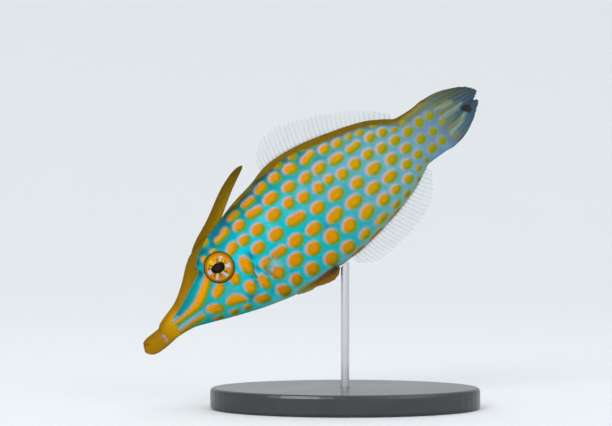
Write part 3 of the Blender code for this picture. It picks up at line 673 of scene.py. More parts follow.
class Value:
    """A shader socket. Arithmetic on it adds Math nodes."""

    def __init__(self, paint, socket):
        self.paint = paint
        self.socket = socket

    def __add__(self, other):
        return self.paint.math("ADD", self, other)

    def __sub__(self, other):
        return self.paint.math("SUBTRACT", self, other)

    def __rsub__(self, other):
        return self.paint.math("SUBTRACT", other, self)

    def __mul__(self, other):
        return self.paint.math("MULTIPLY", self, other)

    def __truediv__(self, other):
        return self.paint.math("DIVIDE", self, other)

    def __pow__(self, other):
        return self.paint.math("POWER", self, other)

    __radd__ = __add__
    __rmul__ = __mul__

    def least(self, other):
        return self.paint.math("MINIMUM", self, other)

    def most(self, other):
        return self.paint.math("MAXIMUM", self, other)

    def over(self, level):
        """How far it rises above a level, and 0 below it."""
        return (self - level).most(0.0)

    def step(self, low, high):
        """0 below low, 1 above high and smooth between. With high under low it falls instead."""
        settings = {"interpolation_type": "SMOOTHSTEP"}
        sockets = {"Value": self, "From Min": low, "From Max": high}
        return self.paint.node("ShaderNodeMapRange", settings, sockets, "Result")


class Paint:
    """A procedural material on a Principled shader."""

    def __init__(self, name, roughness=0.5, metallic=0.0, specular=0.4, coat=0.0, coat_roughness=0.03):
        self.material = bpy.data.materials.new(name)
        self.material.use_nodes = True
        self.tree = self.material.node_tree
        self.shader = self.tree.nodes["Principled BSDF"]
        self.shader.inputs["Roughness"].default_value = roughness
        self.shader.inputs["Metallic"].default_value = metallic
        self.shader.inputs["Specular IOR Level"].default_value = specular
        self.shader.inputs["Coat Weight"].default_value = coat
        self.shader.inputs["Coat Roughness"].default_value = coat_roughness

    def set(self, socket, value):
        """Puts a value, a colour or a link on a socket."""
        if isinstance(value, Value):
            self.tree.links.new(value.socket, socket)
        elif isinstance(value, (int, float)):
            socket.default_value = value
        else:
            value = tuple(value)
            socket.default_value = value + (1.0,) * (socket.type == "RGBA" and len(value) == 3)

    def node(self, kind, settings=None, sockets=None, output=0):
        """A node of a type, with its settings made first and then the values or links of its sockets."""
        made = self.tree.nodes.new(kind)
        for key, value in (settings or {}).items():
            if key == "stops":
                self.set_stops(made.color_ramp, value)
            else:
                setattr(made, key, value)
        for key, value in (sockets or {}).items():
            self.set(made.inputs[key], value)
        return Value(self, made.outputs[output])

    @staticmethod
    def set_stops(ramp, stops):
        while len(ramp.elements) < len(stops):
            ramp.elements.new(0.5)
        for element, (place, colour) in zip(ramp.elements, stops):
            element.position = place
            element.color = (*tuple(colour)[:3], 1.0)

    def math(self, operation, *values):
        return self.node("ShaderNodeMath", {"operation": operation}, dict(enumerate(values)))

    def mix(self, first, second, share):
        """One colour going over to another."""
        return self.node("ShaderNodeMix", {"data_type": "RGBA"}, {0: share, 6: first, 7: second}, 2)

    def layers(self, colour, *coats):
        """A colour with others laid over it in turn, each by its own share."""
        for tint, share in coats:
            colour = self.mix(colour, tint, share)
        return colour

    def along(self, x, tints):
        """A colour that changes along the fish, from pairs of a place and its tint."""
        stops = [(place / 100, tint) for place, tint in tints]
        return self.node("ShaderNodeValToRGB", {"stops": stops}, {"Fac": x / 100}, "Color")

    def attribute(self, name):
        return self.node("ShaderNodeAttribute", {"attribute_name": name}, None, "Fac")

    def object_place(self):
        return self.node("ShaderNodeTexCoord", None, None, "Object")

    def level_place(self):
        """Object coordinates turned back to the level fish, in hundredths of its length."""
        level = pose_matrix().inverted()
        size = 1 / hundredth()
        settings = {"vector_type": "POINT"}
        sockets = {
            "Vector": self.object_place(),
            "Location": level.translation * size,
            "Rotation": tuple(level.to_euler()),
            "Scale": (size, size, size),
        }
        return self.node("ShaderNodeMapping", settings, sockets)

    def parts(self, vector):
        """The three parts of a vector."""
        made = self.node("ShaderNodeSeparateXYZ", None, {0: vector})
        outputs = made.socket.node.outputs
        return [Value(self, outputs[k]) for k in range(3)]

    def stretch(self, vector, scale):
        return self.node("ShaderNodeMapping", None, {"Vector": vector, "Scale": scale})

    def noise(self, vector, scale, detail=2.0, roughness=0.5):
        sockets = {"Vector": vector, "Scale": scale, "Detail": detail, "Roughness": roughness}
        return self.node("ShaderNodeTexNoise", None, sockets, "Fac")

    def cells(self, vector, scale):
        return self.node("ShaderNodeTexVoronoi", None, {"Vector": vector, "Scale": scale}, "Distance")

    def bump(self, height, distance):
        """Relief of a height from 0 to 1, its full depth given in metres."""
        sockets = {"Height": height, "Distance": distance, "Strength": 1.0}
        self.put("Normal", self.node("ShaderNodeBump", None, sockets))

    def put(self, name, value):
        self.set(self.shader.inputs[name], value)


# Distances to the markings, positive inside them

def ellipse_depth(x, h, spot):
    """How far each place lies inside one tilted oval."""
    cx, ch, length, depth, tilt = (*spot, 0.0)[:5]
    turn = math.radians(tilt)
    along = (x - cx) * math.cos(turn) + (h - ch) * math.sin(turn)
    across = (h - ch) * math.cos(turn) - (x - cx) * math.sin(turn)
    a, b = length / 2, depth / 2
    radius = np.maximum(np.sqrt((along / a) ** 2 + (across / b) ** 2), 1e-6)
    slope = np.sqrt((along / a ** 2) ** 2 + (across / b ** 2) ** 2) / radius
    return np.where(radius > 0.5, (1 - radius) / np.maximum(slope, 1e-6), min(a, b) * (1 - radius))


def stroke_depth(x, h, stroke):
    """How far each place lies inside a stroke of changing width, and how far over its middle line."""
    depth = np.full(x.shape, -1e3)
    over = np.zeros(x.shape)
    for (ax, ah, ar), (bx, bh, br) in zip(stroke, stroke[1:]):
        length = math.hypot(bx - ax, bh - ah)
        ux, uh = (bx - ax) / length, (bh - ah) / length
        share = np.clip(((x - ax) * ux + (h - ah) * uh) / length, 0.0, 1.0)
        dx, dh = x - ax - ux * share * length, h - ah - uh * share * length
        here = between(ar, br, share) - np.hypot(dx, dh)
        side = (dh * ux - dx * uh) / np.maximum(between(ar, br, share), 0.05)
        over = np.where(here > depth, side, over)
        depth = np.maximum(here, depth)
    return depth, over


def union(first, second, blend=0.6):
    """The union of two depths with its neck rounded."""
    share = np.clip(0.5 + 0.5 * (first - second) / blend, 0.0, 1.0)
    return between(second, first, share) + blend * share * (1 - share)


def spot_fields(x, h):
    """Fields of the nearest spot at each place.

    They are the depth inside it, the place from its shaded foot (-1) to its lit top (1), and the strength
    of its halo, a painted highlight.
    """
    depth = np.full(x.shape, -50.0)
    nearest = depth.copy()
    rise = np.zeros(x.shape)
    halo = np.zeros(x.shape)
    for spot in SPOTS:
        here = ellipse_depth(x, h, spot)
        aside, over = x - spot[0], h - spot[1]
        # How far each place lies towards the lit side of the spot, which places its painted highlight and
        # shade
        lift = (LIT_SIDE[0] * aside + LIT_SIDE[1] * over) / (np.hypot(aside, over) + 1e-6)
        rise = np.where(here > nearest, lift, rise)
        strength = (spot[3] - HALO_DEPTHS[0]) / (HALO_DEPTHS[1] - HALO_DEPTHS[0])
        halo = np.where(here > nearest, min(max(strength, 0.0), 1.0), halo)
        nearest = np.maximum(here, nearest)
        depth = union(here, depth)
    for stroke in STROKES:
        here, over = stroke_depth(x, h, stroke)
        rise = np.where(here > nearest, np.clip(over, -1.0, 1.0), rise)
        halo = np.where(here > nearest, STROKE_HALO, halo)
        nearest = np.maximum(here, nearest)
        depth = np.maximum(here, depth)
    return depth, rise, halo


def band_depth(x, h):
    """Depth inside the orange of the snout, the forehead and the ridge of the back."""
    snout = (SNOUT_EDGE - x - 0.25 * np.abs(h + 0.4)) * 0.3
    forehead = h - smooth(FOREHEAD_EDGE, x)
    forehead = np.minimum(forehead, x - SNOUT_EDGE + 1.5) * 0.85
    ridge = h - back(x) + smooth(RIDGE_DEPTH, x)
    forehead = np.where(x > RIDGE_START, -1.0, forehead)
    ridge = np.where(x < RIDGE_START, -1.0, ridge)
    return np.maximum(np.maximum(snout, forehead), ridge)


def strokes_depth(x, h, strokes):
    return np.maximum.reduce([stroke_depth(x, h, stroke)[0] for stroke in strokes])


def patchiness(x, h, patches):
    """How far each place lies in soft round patches, from 0 to 1."""
    total = np.zeros(x.shape)
    for cx, ch, radius, strength in patches:
        total = np.maximum(total, strength * hill(np.hypot(x - cx, h - ch), radius))
    return total


# The skin

def ring_places():
    """Where the skin's rings stand, from the snout's tip back."""
    places = [STATIONS[0][0]]
    for end, size in RING_STRETCHES:
        start = places[-1]
        count = max(1, round((end - start) / size))
        places += [between(start, end, (k + 1) / count) for k in range(count)]
    return places


def ring_size(x):
    """The middle height, the half width and the half height of the ring at a place."""
    top, bottom = float(back(x)), float(belly(x))
    return (top + bottom) / 2, float(smooth(STATIONS, x, 3)), (top - bottom) / 2


def extrude_tube(name, places, rings, points):
    """A closed tube along x, extruded ring by ring from a circle.

    Each ring is its middle height, its half width and its half height, in hundredths of the fish's length.
    """
    unit = hundredth()
    centres = [Vector((place, 0.0, ring[0])) * unit for place, ring in zip(places, rings)]
    turned = (0.0, math.pi / 2, 0.0)
    deselect()
    bpy.ops.mesh.primitive_circle_add(
        vertices=points, radius=unit, fill_type="NGON", location=centres[0], rotation=turned,
    )
    piece = named(name)
    bpy.ops.object.transform_apply(location=True, rotation=True, scale=True)
    bpy.ops.object.mode_set(mode="EDIT")
    bpy.ops.mesh.select_all(action="SELECT")
    bpy.ops.transform.resize(value=(1.0, *rings[0][1:]), center_override=centres[0])
    for k in range(1, len(places)):
        growth = [now / before for now, before in zip(rings[k][1:], rings[k - 1][1:])]
        shift = centres[k] - centres[k - 1]
        bpy.ops.mesh.extrude_region_move(TRANSFORM_OT_translate={"value": shift})
        bpy.ops.transform.resize(value=(1.0, *growth), center_override=centres[k])
    bpy.ops.object.mode_set(mode="OBJECT")
    return piece


def lay_on_outline(piece):
    """Moves the tube's points onto the body's outline, each ring by its own angle."""
    x, y, h = coordinates(piece).T
    width, widest, keel = smooth(STATIONS, x, 3), smooth(STATIONS, x, 4), smooth(KEEL, x)
    middle = (back(x) + belly(x)) / 2
    high = (back(x) - belly(x)) / 2
    turn = np.arctan2((h - middle) / high, np.abs(y) / width)
    cosine = np.clip(np.cos(turn), 0.0, 1.0)
    rounding = np.sqrt(1 - (1 - np.minimum(cosine / KEEL_ROUND, 1.0)) ** 2)
    out = keel * rounding + (width - keel) * cosine ** smooth(FULLNESS, x)
    reach = np.where(turn > 0, back(x) - widest, widest - belly(x))
    place_points(piece, np.column_stack((x, np.sign(y) * out, widest + reach * np.sin(turn))))


def lay_on_flank(piece):
    """Moves points clear of the keels out to the flank's own curve."""
    points = coordinates(piece)
    x, y, h = points.T
    clear = np.minimum(back(x) - h, h - belly(x)) > 1.0
    points[:, 1] = np.where(clear, np.sign(y) * flank(x, h), y)
    place_points(piece, points)


def eye_plane(points):
    """Each point's distance from the eye's axis, and its height out of the eye's plane."""
    radius = np.full(len(points), 99.0)
    out = np.zeros(len(points))
    for side in (LEFT, RIGHT):
        middle = np.array(on_flank(*EYE, side))
        normal = np.array(flank_normal(*EYE, side))
        offset = points - middle
        height = offset @ normal
        distance = np.linalg.norm(offset - np.outer(height, normal), axis=1)
        here = points[:, 1] * side > 0
        radius = np.where(here, distance, radius)
        out = np.where(here, height, out)
    return radius, out


def gill_distance(x, h):
    """How far each place lies from the gill slit's line."""
    return -strokes_depth(x, h, [[(*place, 0.0) for place in GILL_SLIT]])


def nostril_distances(x, h):
    """How far each place lies from each nostril."""
    return [np.hypot(x - place[0], h - place[1]) for place in NOSTRILS]


def mouth_place(x, h):
    """How far each place lies behind the mouth's corner along its line, and how far over that line."""
    from_corner = np.column_stack((x - MOUTH_CORNER[0], h - MOUTH_CORNER[1]))
    return from_corner @ MOUTH_LINE, from_corner @ MOUTH_NORMAL


def skin_detail(piece):
    """Raises the eye rims, lips, nostrils and fin roots, and sinks the sockets, mouth and gill slits."""
    points = coordinates(piece)
    x, _, h = points.T
    radius, out = eye_plane(points)
    brow = np.maximum(-RIM_UNDER_EYE - out, 0.0) * hill(radius - EYE_RIM, 0.9) * (radius < BROW_REACH)
    lift = brow + 0.26 * hill(radius - EYE_RIM, 0.3)
    lift = np.where(radius < EYE_RADIUS, -SOCKET_DEPTH * step_up(radius, EYE_RADIUS, SOCKET_FLOOR), lift)
    along, over = mouth_place(x, h)
    mouth = step_up(along, 0.15, -0.5) * (x < MOUTH_REACH)
    lift += mouth * (0.1 * hill(np.abs(over) - 0.4, 0.26) - 0.26 * hill(over, 0.11))
    gill = gill_distance(x, h)
    lift += 0.12 * hill(gill - 0.45, 0.3) - 0.34 * hill(gill, 0.15)
    for away in nostril_distances(x, h):
        lift += 0.26 * hill(away, 0.45) - 0.4 * hill(away, 0.18)
    root, _ = stroke_depth(x, h, ((*PECTORAL_TOP, 0.0), (*PECTORAL_FOOT, 0.0)))
    lift += 0.3 * hill(root, 0.6)
    place_points(piece, points + directions(piece) * lift[:, None])
    return radius, gill, mouth * hill(over, 0.16)


def skin_marks(piece, points, radius, gill, mouth):
    """Stores the markings and the painted shade of the creases that the skin's material reads."""
    x, _, h = points.T
    # Painted shade in the creases: inside the eye rims, in the gill slits, along the mouth and in the
    # nostrils
    crease_shades = np.maximum.reduce([
        step_up(radius, EYE_RIM - 0.05, EYE_RIM - 0.4), 0.36 * hill(gill, 0.16), 0.3 * mouth,
        *[0.5 * hill(away, 0.2) for away in nostril_distances(x, h)],
    ])
    store(piece, under_back=back(x) - h, over_belly=h - belly(x), crease=crease_shades)
    x, h = seen_from_front(points)
    depth, rise, halo = spot_fields(x, h)
    store(
        piece, spot=depth, rise=rise, halo=halo, band=band_depth(x, h),
        pale_stroke=strokes_depth(x, h, PALE_STROKES), lilac=strokes_depth(x, h, LILAC_STROKES),
        paleness=patchiness(x, h, PALE_PATCHES), deepness=patchiness(x, h, DEEP_AND_SHADOW_PATCHES),
        fin_root=strokes_depth(x, h, PECTORAL_STAIN),
    )
    store_tail_marks(piece, x, h)


def store_tail_marks(piece, x, h):
    """Stores the markings of the tail fin, which start on the end of the stalk."""
    store(
        piece, streak=strokes_depth(x, h, STREAKS), pale_band=strokes_depth(x, h, PALE_BANDS),
        tail_shade=strokes_depth(x, h, TAIL_SHADES),
    )


def build_skin():
    """The one skin of the snout, the head, the trunk and the tail stalk."""
    places = ring_places()
    piece = extrude_tube("fish_skin", places, [ring_size(x) for x in places], sizes().ring_points)
    subdivide_where(piece, lambda centres: np.full(len(centres), True), 3)
    lay_on_outline(piece)
    subdivide_where(piece, near_detail, 1)
    lay_on_flank(piece)
    outward(piece)
    points = coordinates(piece)
    skin_marks(piece, points, *skin_detail(piece))
    replaced = ("jaws", "snout", "head", "trunk", "tail_stalk")
    return finish(piece, skin_paint(), replaced)


def near_detail(centres):
    """Where the skin needs a finer mesh: the eye rims, the gill slits and the nostrils."""
    x, h = centres[:, 0], centres[:, 2]
    radius, _ = eye_plane(centres)
    chosen = (np.abs(radius - EYE_RIM + 0.1) < 0.75) | (gill_distance(x, h) < 0.7)
    for away in nostril_distances(x, h):
        chosen |= away < 0.8
    return chosen


# The colours of the skin

def tail_ground(paint, x, h, wander):
    """The ground of the tail fin, which starts on the stalk's end: olive above and grey-blue below."""
    olive = paint.along(x, (
        (88.0, (0.108, 0.142, 0.105)), (92.0, (0.085, 0.11, 0.078)), (95.5, (0.06, 0.072, 0.05)),
        (99.0, (0.047, 0.06, 0.04)),
    ))
    blue = paint.along(x, (
        (88.0, (0.085, 0.135, 0.17)), (92.0, (0.055, 0.115, 0.142)), (95.0, (0.03, 0.08, 0.14)),
        (99.0, (0.03, 0.066, 0.093)),
    ))
    pale = paint.attribute("pale_band") + wander * 0.7
    streak = paint.attribute("streak") + wander * 0.7
    shade = paint.attribute("tail_shade") + wander * 0.4
    return paint.layers(
        blue,
        (olive, (h + wander * 2.4).step(0.5, 3.4)),
        ((0.225, 0.3, 0.245), pale.step(-0.8, 0.45) * 0.85),
        ((0.15, 0.165, 0.07), streak.step(-0.7, 0.05) * 0.5),
        ((0.19, 0.165, 0.02), streak.step(-0.3, 0.4) * 0.85),
        ((0.02, 0.035, 0.05), shade.step(-0.4, 0.15) * 0.75),
    )


def flap_colour(paint, x, mottle):
    """The belly flap's colour along it: olive yellow, then orange-brown, and nearly black at the rear."""
    return paint.along(x + (mottle - 0.5) * 1.2, (
        (37.0, (0.2, 0.27, 0.13)), (38.5, (0.28, 0.26, 0.05)), (40.4, (0.22, 0.18, 0.02)),
        (41.4, (0.24, 0.11, 0.008)), (44.5, (0.17, 0.07, 0.008)), (46.5, (0.1, 0.042, 0.008)),
        (48.0, (0.045, 0.022, 0.008)),
    ))


def ground_colour(paint, x, broad, mottle):
    """The blue-green ground: brighter on the cheek, greyer to the tail, deep near the back as painted
    shade.
    """
    tints = colours()
    under_back = paint.attribute("under_back")
    ground = paint.along(x, (
        (11.0, (0.001, 0.27, 0.25)), (18.0, (0.001, 0.4, 0.41)), (23.0, (0.002, 0.62, 0.73)),
        (31.0, (0.002, 0.53, 0.66)), (38.0, (0.001, 0.44, 0.51)), (50.0, tints.teal),
        (60.0, (0.018, 0.33, 0.39)), (72.0, (0.06, 0.325, 0.4)), (83.0, tints.mist),
        (90.0, (0.1, 0.17, 0.26)),
    ))
    pale = paint.mix(tints.pale_cyan, (0.12, 0.36, 0.43), x.step(44.0, 56.0))
    deep_and_shadow = paint.mix((0.001, 0.1, 0.11), (0.001, 0.12, 0.2), x.step(26.0, 30.0))
    belly_colour = paint.along(x, (
        (34.0, (0.2, 0.46, 0.36)), (44.0, (0.25, 0.28, 0.29)), (52.0, (0.2, 0.3, 0.31)),
        (60.0, (0.27, 0.31, 0.2)), (78.0, (0.22, 0.27, 0.16)),
    ))
    near_band = paint.attribute("band").step(-2.0, -0.2) * x.step(34.0, 24.0)
    # Painted shade towards the edge of the back, in tones that deepen to that edge
    back_edge_shade = under_back.step(8.2, 2.0) * x.step(84.0, 52.0) * x.step(24.0, 30.0)
    dark_back_shade = under_back.step(2.7, 0.9) * x.step(30.0, 36.0)
    olive_back_shade = under_back.step(1.7, 0.9) * x.step(34.5, 38.0) * x.step(46.0, 44.0)
    rear_back_shade = under_back.step(3.2, 1.0) * x.step(46.0, 60.0)
    near_belly = paint.attribute("over_belly").step(2.0, 0.3) * x.step(24.0, 36.0) * x.step(82.0, 77.0)
    return paint.layers(
        ground,
        (pale, paint.attribute("paleness") * (broad + 0.5)),
        (pale, (broad + mottle * 0.3).step(0.58, 0.9) * x.step(40.0, 60.0) * 0.5),
        (tints.deep_teal, mottle.over(0.46) * 1.3),
        (tints.deep_teal, near_band * 0.72),
        # Painted shade near the back
        (tints.deep_teal, back_edge_shade * 0.95),
        ((0.01, 0.03, 0.008), dark_back_shade * 0.9),
        ((0.05, 0.07, 0.006), olive_back_shade * 0.9),
        ((0.1, 0.115, 0.055), rear_back_shade * 0.8),
        # Painted shadow about the gill slit and the pectoral fin's root, and deeper ground about the eye
        # and elsewhere
        (deep_and_shadow, paint.attribute("deepness") * 0.9),
        (belly_colour, near_belly * 0.8),
    )


def on_stalk(x):
    """0 on the trunk and 1 on the tail stalk."""
    return x.step(74.0, 84.0)


def on_lit_top(rise):
    """0 at the shaded foot of a spot and 1 over its lit top, for its painted shade and highlight."""
    return rise.step(-0.4, 0.7)


def edged_ground(paint, ground, x, h, depth, rise, wander, mottle):
    """The ground with each spot's pale haze, a painted highlight over its top, and green painted shade
    below.
    """
    under_back = paint.attribute("under_back")
    rear, stalk, top = x.step(50.0, 64.0), on_stalk(x), on_lit_top(rise)
    share = (top + (1 - top) * rear * 0.3) * paint.attribute("halo")
    share = share * (1 - x.step(36.0, 30.0) * 0.5) * under_back.step(0.6, 2.6)
    near = depth.step(rear * -0.3 - 0.72, 0.22)
    halo = paint.mix(colours().blush_highlight, (0.23, 0.27, 0.33), stalk)
    green_foot_shade = paint.mix((0.06, 0.31, 0.012), (0.14, 0.27, 0.02), x.step(50.0, 80.0))
    shade = depth.step(stalk * 0.1 - 0.8, stalk * 0.1 + 0.05) * rise.step(0.15, -0.6)
    pale_stroke = (paint.attribute("pale_stroke") + wander * 0.3).step(-0.35, 0.3)
    return paint.layers(
        ground,
        # Painted highlight, mostly over the lit top of each spot and faint round the rear spots
        (halo, near * share * (mottle * 0.5 + 0.75)),
        # Painted green shade at the foot of each spot
        (green_foot_shade, shade * under_back.step(0.8, 2.0) * 0.9),
        ((0.2, 0.185, 0.04), under_back.step(2.7, 0.5) * x.step(77.0, 81.0) * 0.85),
        (tail_ground(paint, x, h, wander), (x + wander * 2.0).step(86.4, 89.4)),
        ((0.2, 0.38, 0.46), pale_stroke * 0.85),
    )


def spot_colour(paint, x, depth, rise, mottle):
    """The spots, orange and yellower to the tail, with painted light and shade: reddish over each top,
    olive at the foot.
    """
    tints = colours()
    over_belly = paint.attribute("over_belly")
    spot = paint.along(x, (
        (0.0, (0.78, 0.295, 0.001)), (28.0, (0.74, 0.286, 0.001)), (36.0, tints.orange),
        (50.0, tints.orange), (62.0, tints.amber), (71.0, (0.46, 0.265, 0.001)),
        (80.0, (0.32, 0.235, 0.001)), (88.0, tints.moss),
    ))
    back_edge_shade = paint.attribute("under_back").step(2.9, 1.2) * x.step(28.0, 33.0) * x.step(74.0, 68.0)
    return paint.layers(
        spot,
        # Painted highlight: reddish over the lit top of each spot
        ((0.72, 0.16, 0.02), depth.step(0.6, 0.05) * rise.step(0.1, 0.7) * x.step(80.0, 60.0) * 0.3),
        # Painted shade: olive at the foot of each spot
        ((0.14, 0.2, 0.002), depth.step(1.15, 0.0) * rise.step(0.35, -0.6) * 0.86),
        ((0.3, 0.17, 0.001), mottle.over(0.47) * 2.0),
        # Painted shade on the spots near the back, and below on those low down towards the belly
        ((0.2, 0.13, 0.003), back_edge_shade * 0.7),
        ((0.26, 0.14, 0.001), over_belly.step(6.0, 0.8) * x.step(60.0, 40.0) * 0.5),
        ((0.14, 0.075, 0.001), over_belly.step(2.2, 0.2) * x.step(10.0, 17.0) * 0.6),
    )


def band_colour(paint, x, mottle):
    """The orange of the snout, the forehead and the ridge, browner to the rear and, in painted shade, to
    the edge.
    """
    under_back = paint.attribute("under_back")
    return paint.layers(
        colours().mustard,
        ((0.54, 0.27, 0.001), x.step(5.0, 9.5) * x.step(13.0, 10.0)),
        # Painted shade browning the band towards the edge of the back
        ((0.2, 0.075, 0.001), under_back.step(2.0, 0.0) * 0.75),
        ((0.14, 0.08, 0.001), x.step(13.0, 25.0) * 0.9),
        ((0.145, 0.088, 0.001), x.step(42.0, 50.0)),
        ((0.115, 0.074, 0.001), x.step(62.0, 72.0)),
        # Painted shade, darkest at the very edge of the back
        ((0.14, 0.05, 0.001), under_back.step(0.6, 0.1) * x.step(42.0, 50.0) * 0.8),
        ((0.19, 0.12, 0.001), mottle.over(0.47) * 3.0),
    )


def spot_edge(x, depth, rise):
    """0 outside the spots and 1 inside: crisp at the foot of each and soft over its top."""
    stalk, top = on_stalk(x), on_lit_top(rise)
    start = rise.step(-0.4, 0.2) * (stalk * -0.1 - 0.15) - 0.12
    softness = 0.48 - x.step(52.0, 62.0) * 0.1 - stalk * 0.15
    return depth.step(start, top * top * softness + 0.07)


def skin_paint():
    """Satin fish skin: blue-green ground, orange spots, bands and strokes, painted light and shade, fine
    velvety grain.
    """
    paint = Paint("spotted_fish_skin", specular=0.035)
    level = paint.level_place()
    x, _, h = paint.parts(level)
    broad = paint.noise(level, 0.3, 2.0)
    wander = paint.noise(level, 0.75, 2.0) - 0.5
    mottle = paint.noise(level, 2.6, 3.0, 0.6)
    depth = paint.attribute("spot") + wander * (2 * sizes().spot_wobble)
    # From each spot's shaded foot (-1) to its lit top (1): where its painted shade and highlight fall
    rise = paint.attribute("rise")

    ground = ground_colour(paint, x, broad, mottle)
    wavy = (wander + (mottle - 0.5) * 0.5) * (0.3 + x.step(44.0, 50.0) * 0.9)
    band = (paint.attribute("band") + wavy).step(x.step(43.0, 48.0) * -0.3 - 0.14, 0.14)
    lilac = paint.attribute("lilac") + (mottle - 0.5) * 0.4
    lip = x.step(6.0, 5.6) * (h + x * 0.5).step(2.2, 1.4)
    flap_height = h + wander * 0.8 - x.step(42.0, 40.0) * 0.5
    flap_stain = x.step(36.6, 38.0) * x.step(49.0, 47.8) * flap_height.step(-11.4, -12.0)
    fin_root = paint.attribute("fin_root") + wander * 0.4
    paint.put("Base Color", paint.layers(
        edged_ground(paint, ground, x, h, depth, rise, wander, mottle),
        (spot_colour(paint, x, depth, rise, mottle), spot_edge(x, depth, rise)),
        (band_colour(paint, x, mottle), band),
        ((0.4, 0.24, 0.2), lilac.step(-0.9, -0.1) * lip * 0.35),
        ((0.36, 0.27, 0.64), lilac.step(-0.18, 0.12) * 0.75),
        (flap_colour(paint, x, mottle), flap_stain * 0.9),
        ((0.27, 0.13, 0.01), fin_root.step(-0.45, 0.25) * 0.7),
        # Painted shade in the creases
        ((0.07, 0.04, 0.008), paint.attribute("crease") * 0.85),
    ))
    paint.put("Roughness", 0.4 + mottle * 0.16)
    paint.bump(paint.cells(level, 5.5) * 0.5 + depth.step(-0.25, 0.3) * 0.5 + mottle * 0.4, 0.00005)
    return paint.material


# The eyes

def eye_fields(across, up):
    """Depths inside the pupil, the pale bars, the dark ticks and the yellow patch of the eye."""
    px, ph = across - PUPIL[0], up - PUPIL[1]
    angle = np.arctan2(ph, px)
    away = np.hypot(px, ph)

    def off(degrees):
        return np.abs(np.angle(np.exp(1j * (angle - math.radians(degrees)))))

    oval = np.abs(px / PUPIL_HALF[0]) ** PUPIL_POWER + np.abs(ph / PUPIL_HALF[1]) ** PUPIL_POWER
    pupil = 1.0 - 0.2 * hill(off(PUPIL_DENT), 0.6) - oval ** (1 / PUPIL_POWER)
    bars = np.full(px.shape, -9.0)
    ticks = bars.copy()
    for degrees, width, start, end in EYE_BARS:
        aside = off(degrees) * away
        half = width / 2 * (0.45 + 0.2 * away)
        bars = np.maximum(bars, np.minimum(half - aside, np.minimum(away - start, end - away)))
        ticks = np.maximum(ticks, np.minimum(0.06 - np.abs(aside - width / 2 - 0.1), 2.5 - away))
    for degrees in EYE_TICKS:
        ticks = np.maximum(ticks, np.minimum(0.1 - off(degrees) * away, 2.4 - away))
    yellow = np.minimum(0.3 - off(YELLOW_PATCH) * away, 2.7 - away)
    return {"pupil": pupil * 1.4, "bars": bars, "ticks": ticks, "yellow": yellow}


def build_eye():
    """The left eye: a flattened ball with a low domed front, in its own axes on the flank."""
    deselect()
    bpy.ops.mesh.primitive_uv_sphere_add(segments=96, ring_count=64, radius=1.0)
    piece = named("left_eye")
    out = flank_normal(*EYE, LEFT)
    up = Vector((0.0, 0.0, 1.0))
    up = (up - out * up.dot(out)).normalized()
    axes = np.array((out.cross(up), up, out))
    # The ball starts with a radius of one metre, so in metres its points are shares of its radius
    ball = coordinates(piece) * hundredth()
    ball[:, 2] += EYE_DOME * hill(np.hypot(ball[:, 0], ball[:, 1]), 0.42) * (ball[:, 2] > 0)
    ball *= (EYE_RADIUS, EYE_RADIUS, EYE_HALF_DEPTH)
    place_points(piece, ball @ axes + np.array(on_flank(*EYE, LEFT) - out * EYE_SUNK))
    outward(piece)
    across = ball[:, 0] * np.sign(axes[0][0])
    store(piece, **eye_fields(across, ball[:, 1]), from_middle=np.hypot(across, ball[:, 1]))
    return finish(piece, eye_paint(), ("eye_left",))


def eye_paint():
    """A glossy eye: black pupil in a yellow rim, orange iris with pale bars, brown edge."""
    paint = Paint("glossy_fish_eye", specular=0.06, coat=0.05, coat_roughness=0.03)
    level = paint.level_place()
    mottle = paint.noise(level, 2.2, 3.0, 0.6)
    fine = paint.noise(level, 5.0, 2.0)
    radius, pupil = paint.attribute("from_middle"), paint.attribute("pupil")
    yellow = paint.attribute("yellow") + (fine - 0.5) * 0.5
    bars = paint.attribute("bars") + (fine - 0.5) * 0.4
    ticks = paint.attribute("ticks") + (fine - 0.5) * 0.2
    low = (paint.parts(level)[2] + mottle * 1.5).step(EYE[1] + 2.0, EYE[1] - 3.0)
    black = (pupil + (mottle - 0.5) * 0.8).step(0.75, 0.3)
    paint.put("Base Color", paint.layers(
        (0.7, 0.2, 0.001),
        ((0.62, 0.28, 0.002), mottle.step(0.35, 0.65)),
        ((0.3, 0.085, 0.002), fine.over(0.5) * 3.0),
        ((0.55, 0.48, 0.01), yellow.step(-0.35, 0.2) * 0.9),
        ((0.55, 0.4, 0.008), pupil.step(-0.5, -0.12) * 0.8),
        ((0.46, 0.54, 0.56), bars.step(-0.25, 0.18) * 0.9),
        ((0.2, 0.36, 0.62), bars.step(-0.1, 0.15) * mottle.step(0.47, 0.6) * 0.6),
        ((0.6, 0.34, 0.5), bars.step(-0.1, 0.15) * mottle.step(0.44, 0.34) * 0.6),
        ((0.06, 0.022, 0.002), ticks.step(-0.1, 0.05) * 0.85),
        ((0.42, 0.15, 0.002), radius.step(2.65, 3.1) * 0.9),
        ((0.11, 0.055, 0.002), radius.step(3.4 - low * 0.7, 3.7) * (low * 0.3 + 0.65)),
        (paint.mix((0.022, 0.006, 0.003), (0.001, 0.001, 0.001), black), pupil.step(-0.08, 0.05)),
    ))
    paint.put("Roughness", 0.32 - pupil.step(-0.05, 0.1) * 0.2)
    return paint.material


# Sheets with rays

def ray_ridge(place, count, width):
    """How near each place along a fin lies to one of its rays, from 0 to 1."""
    offset = place * (count - 1)
    return hill(offset - np.round(offset), width)


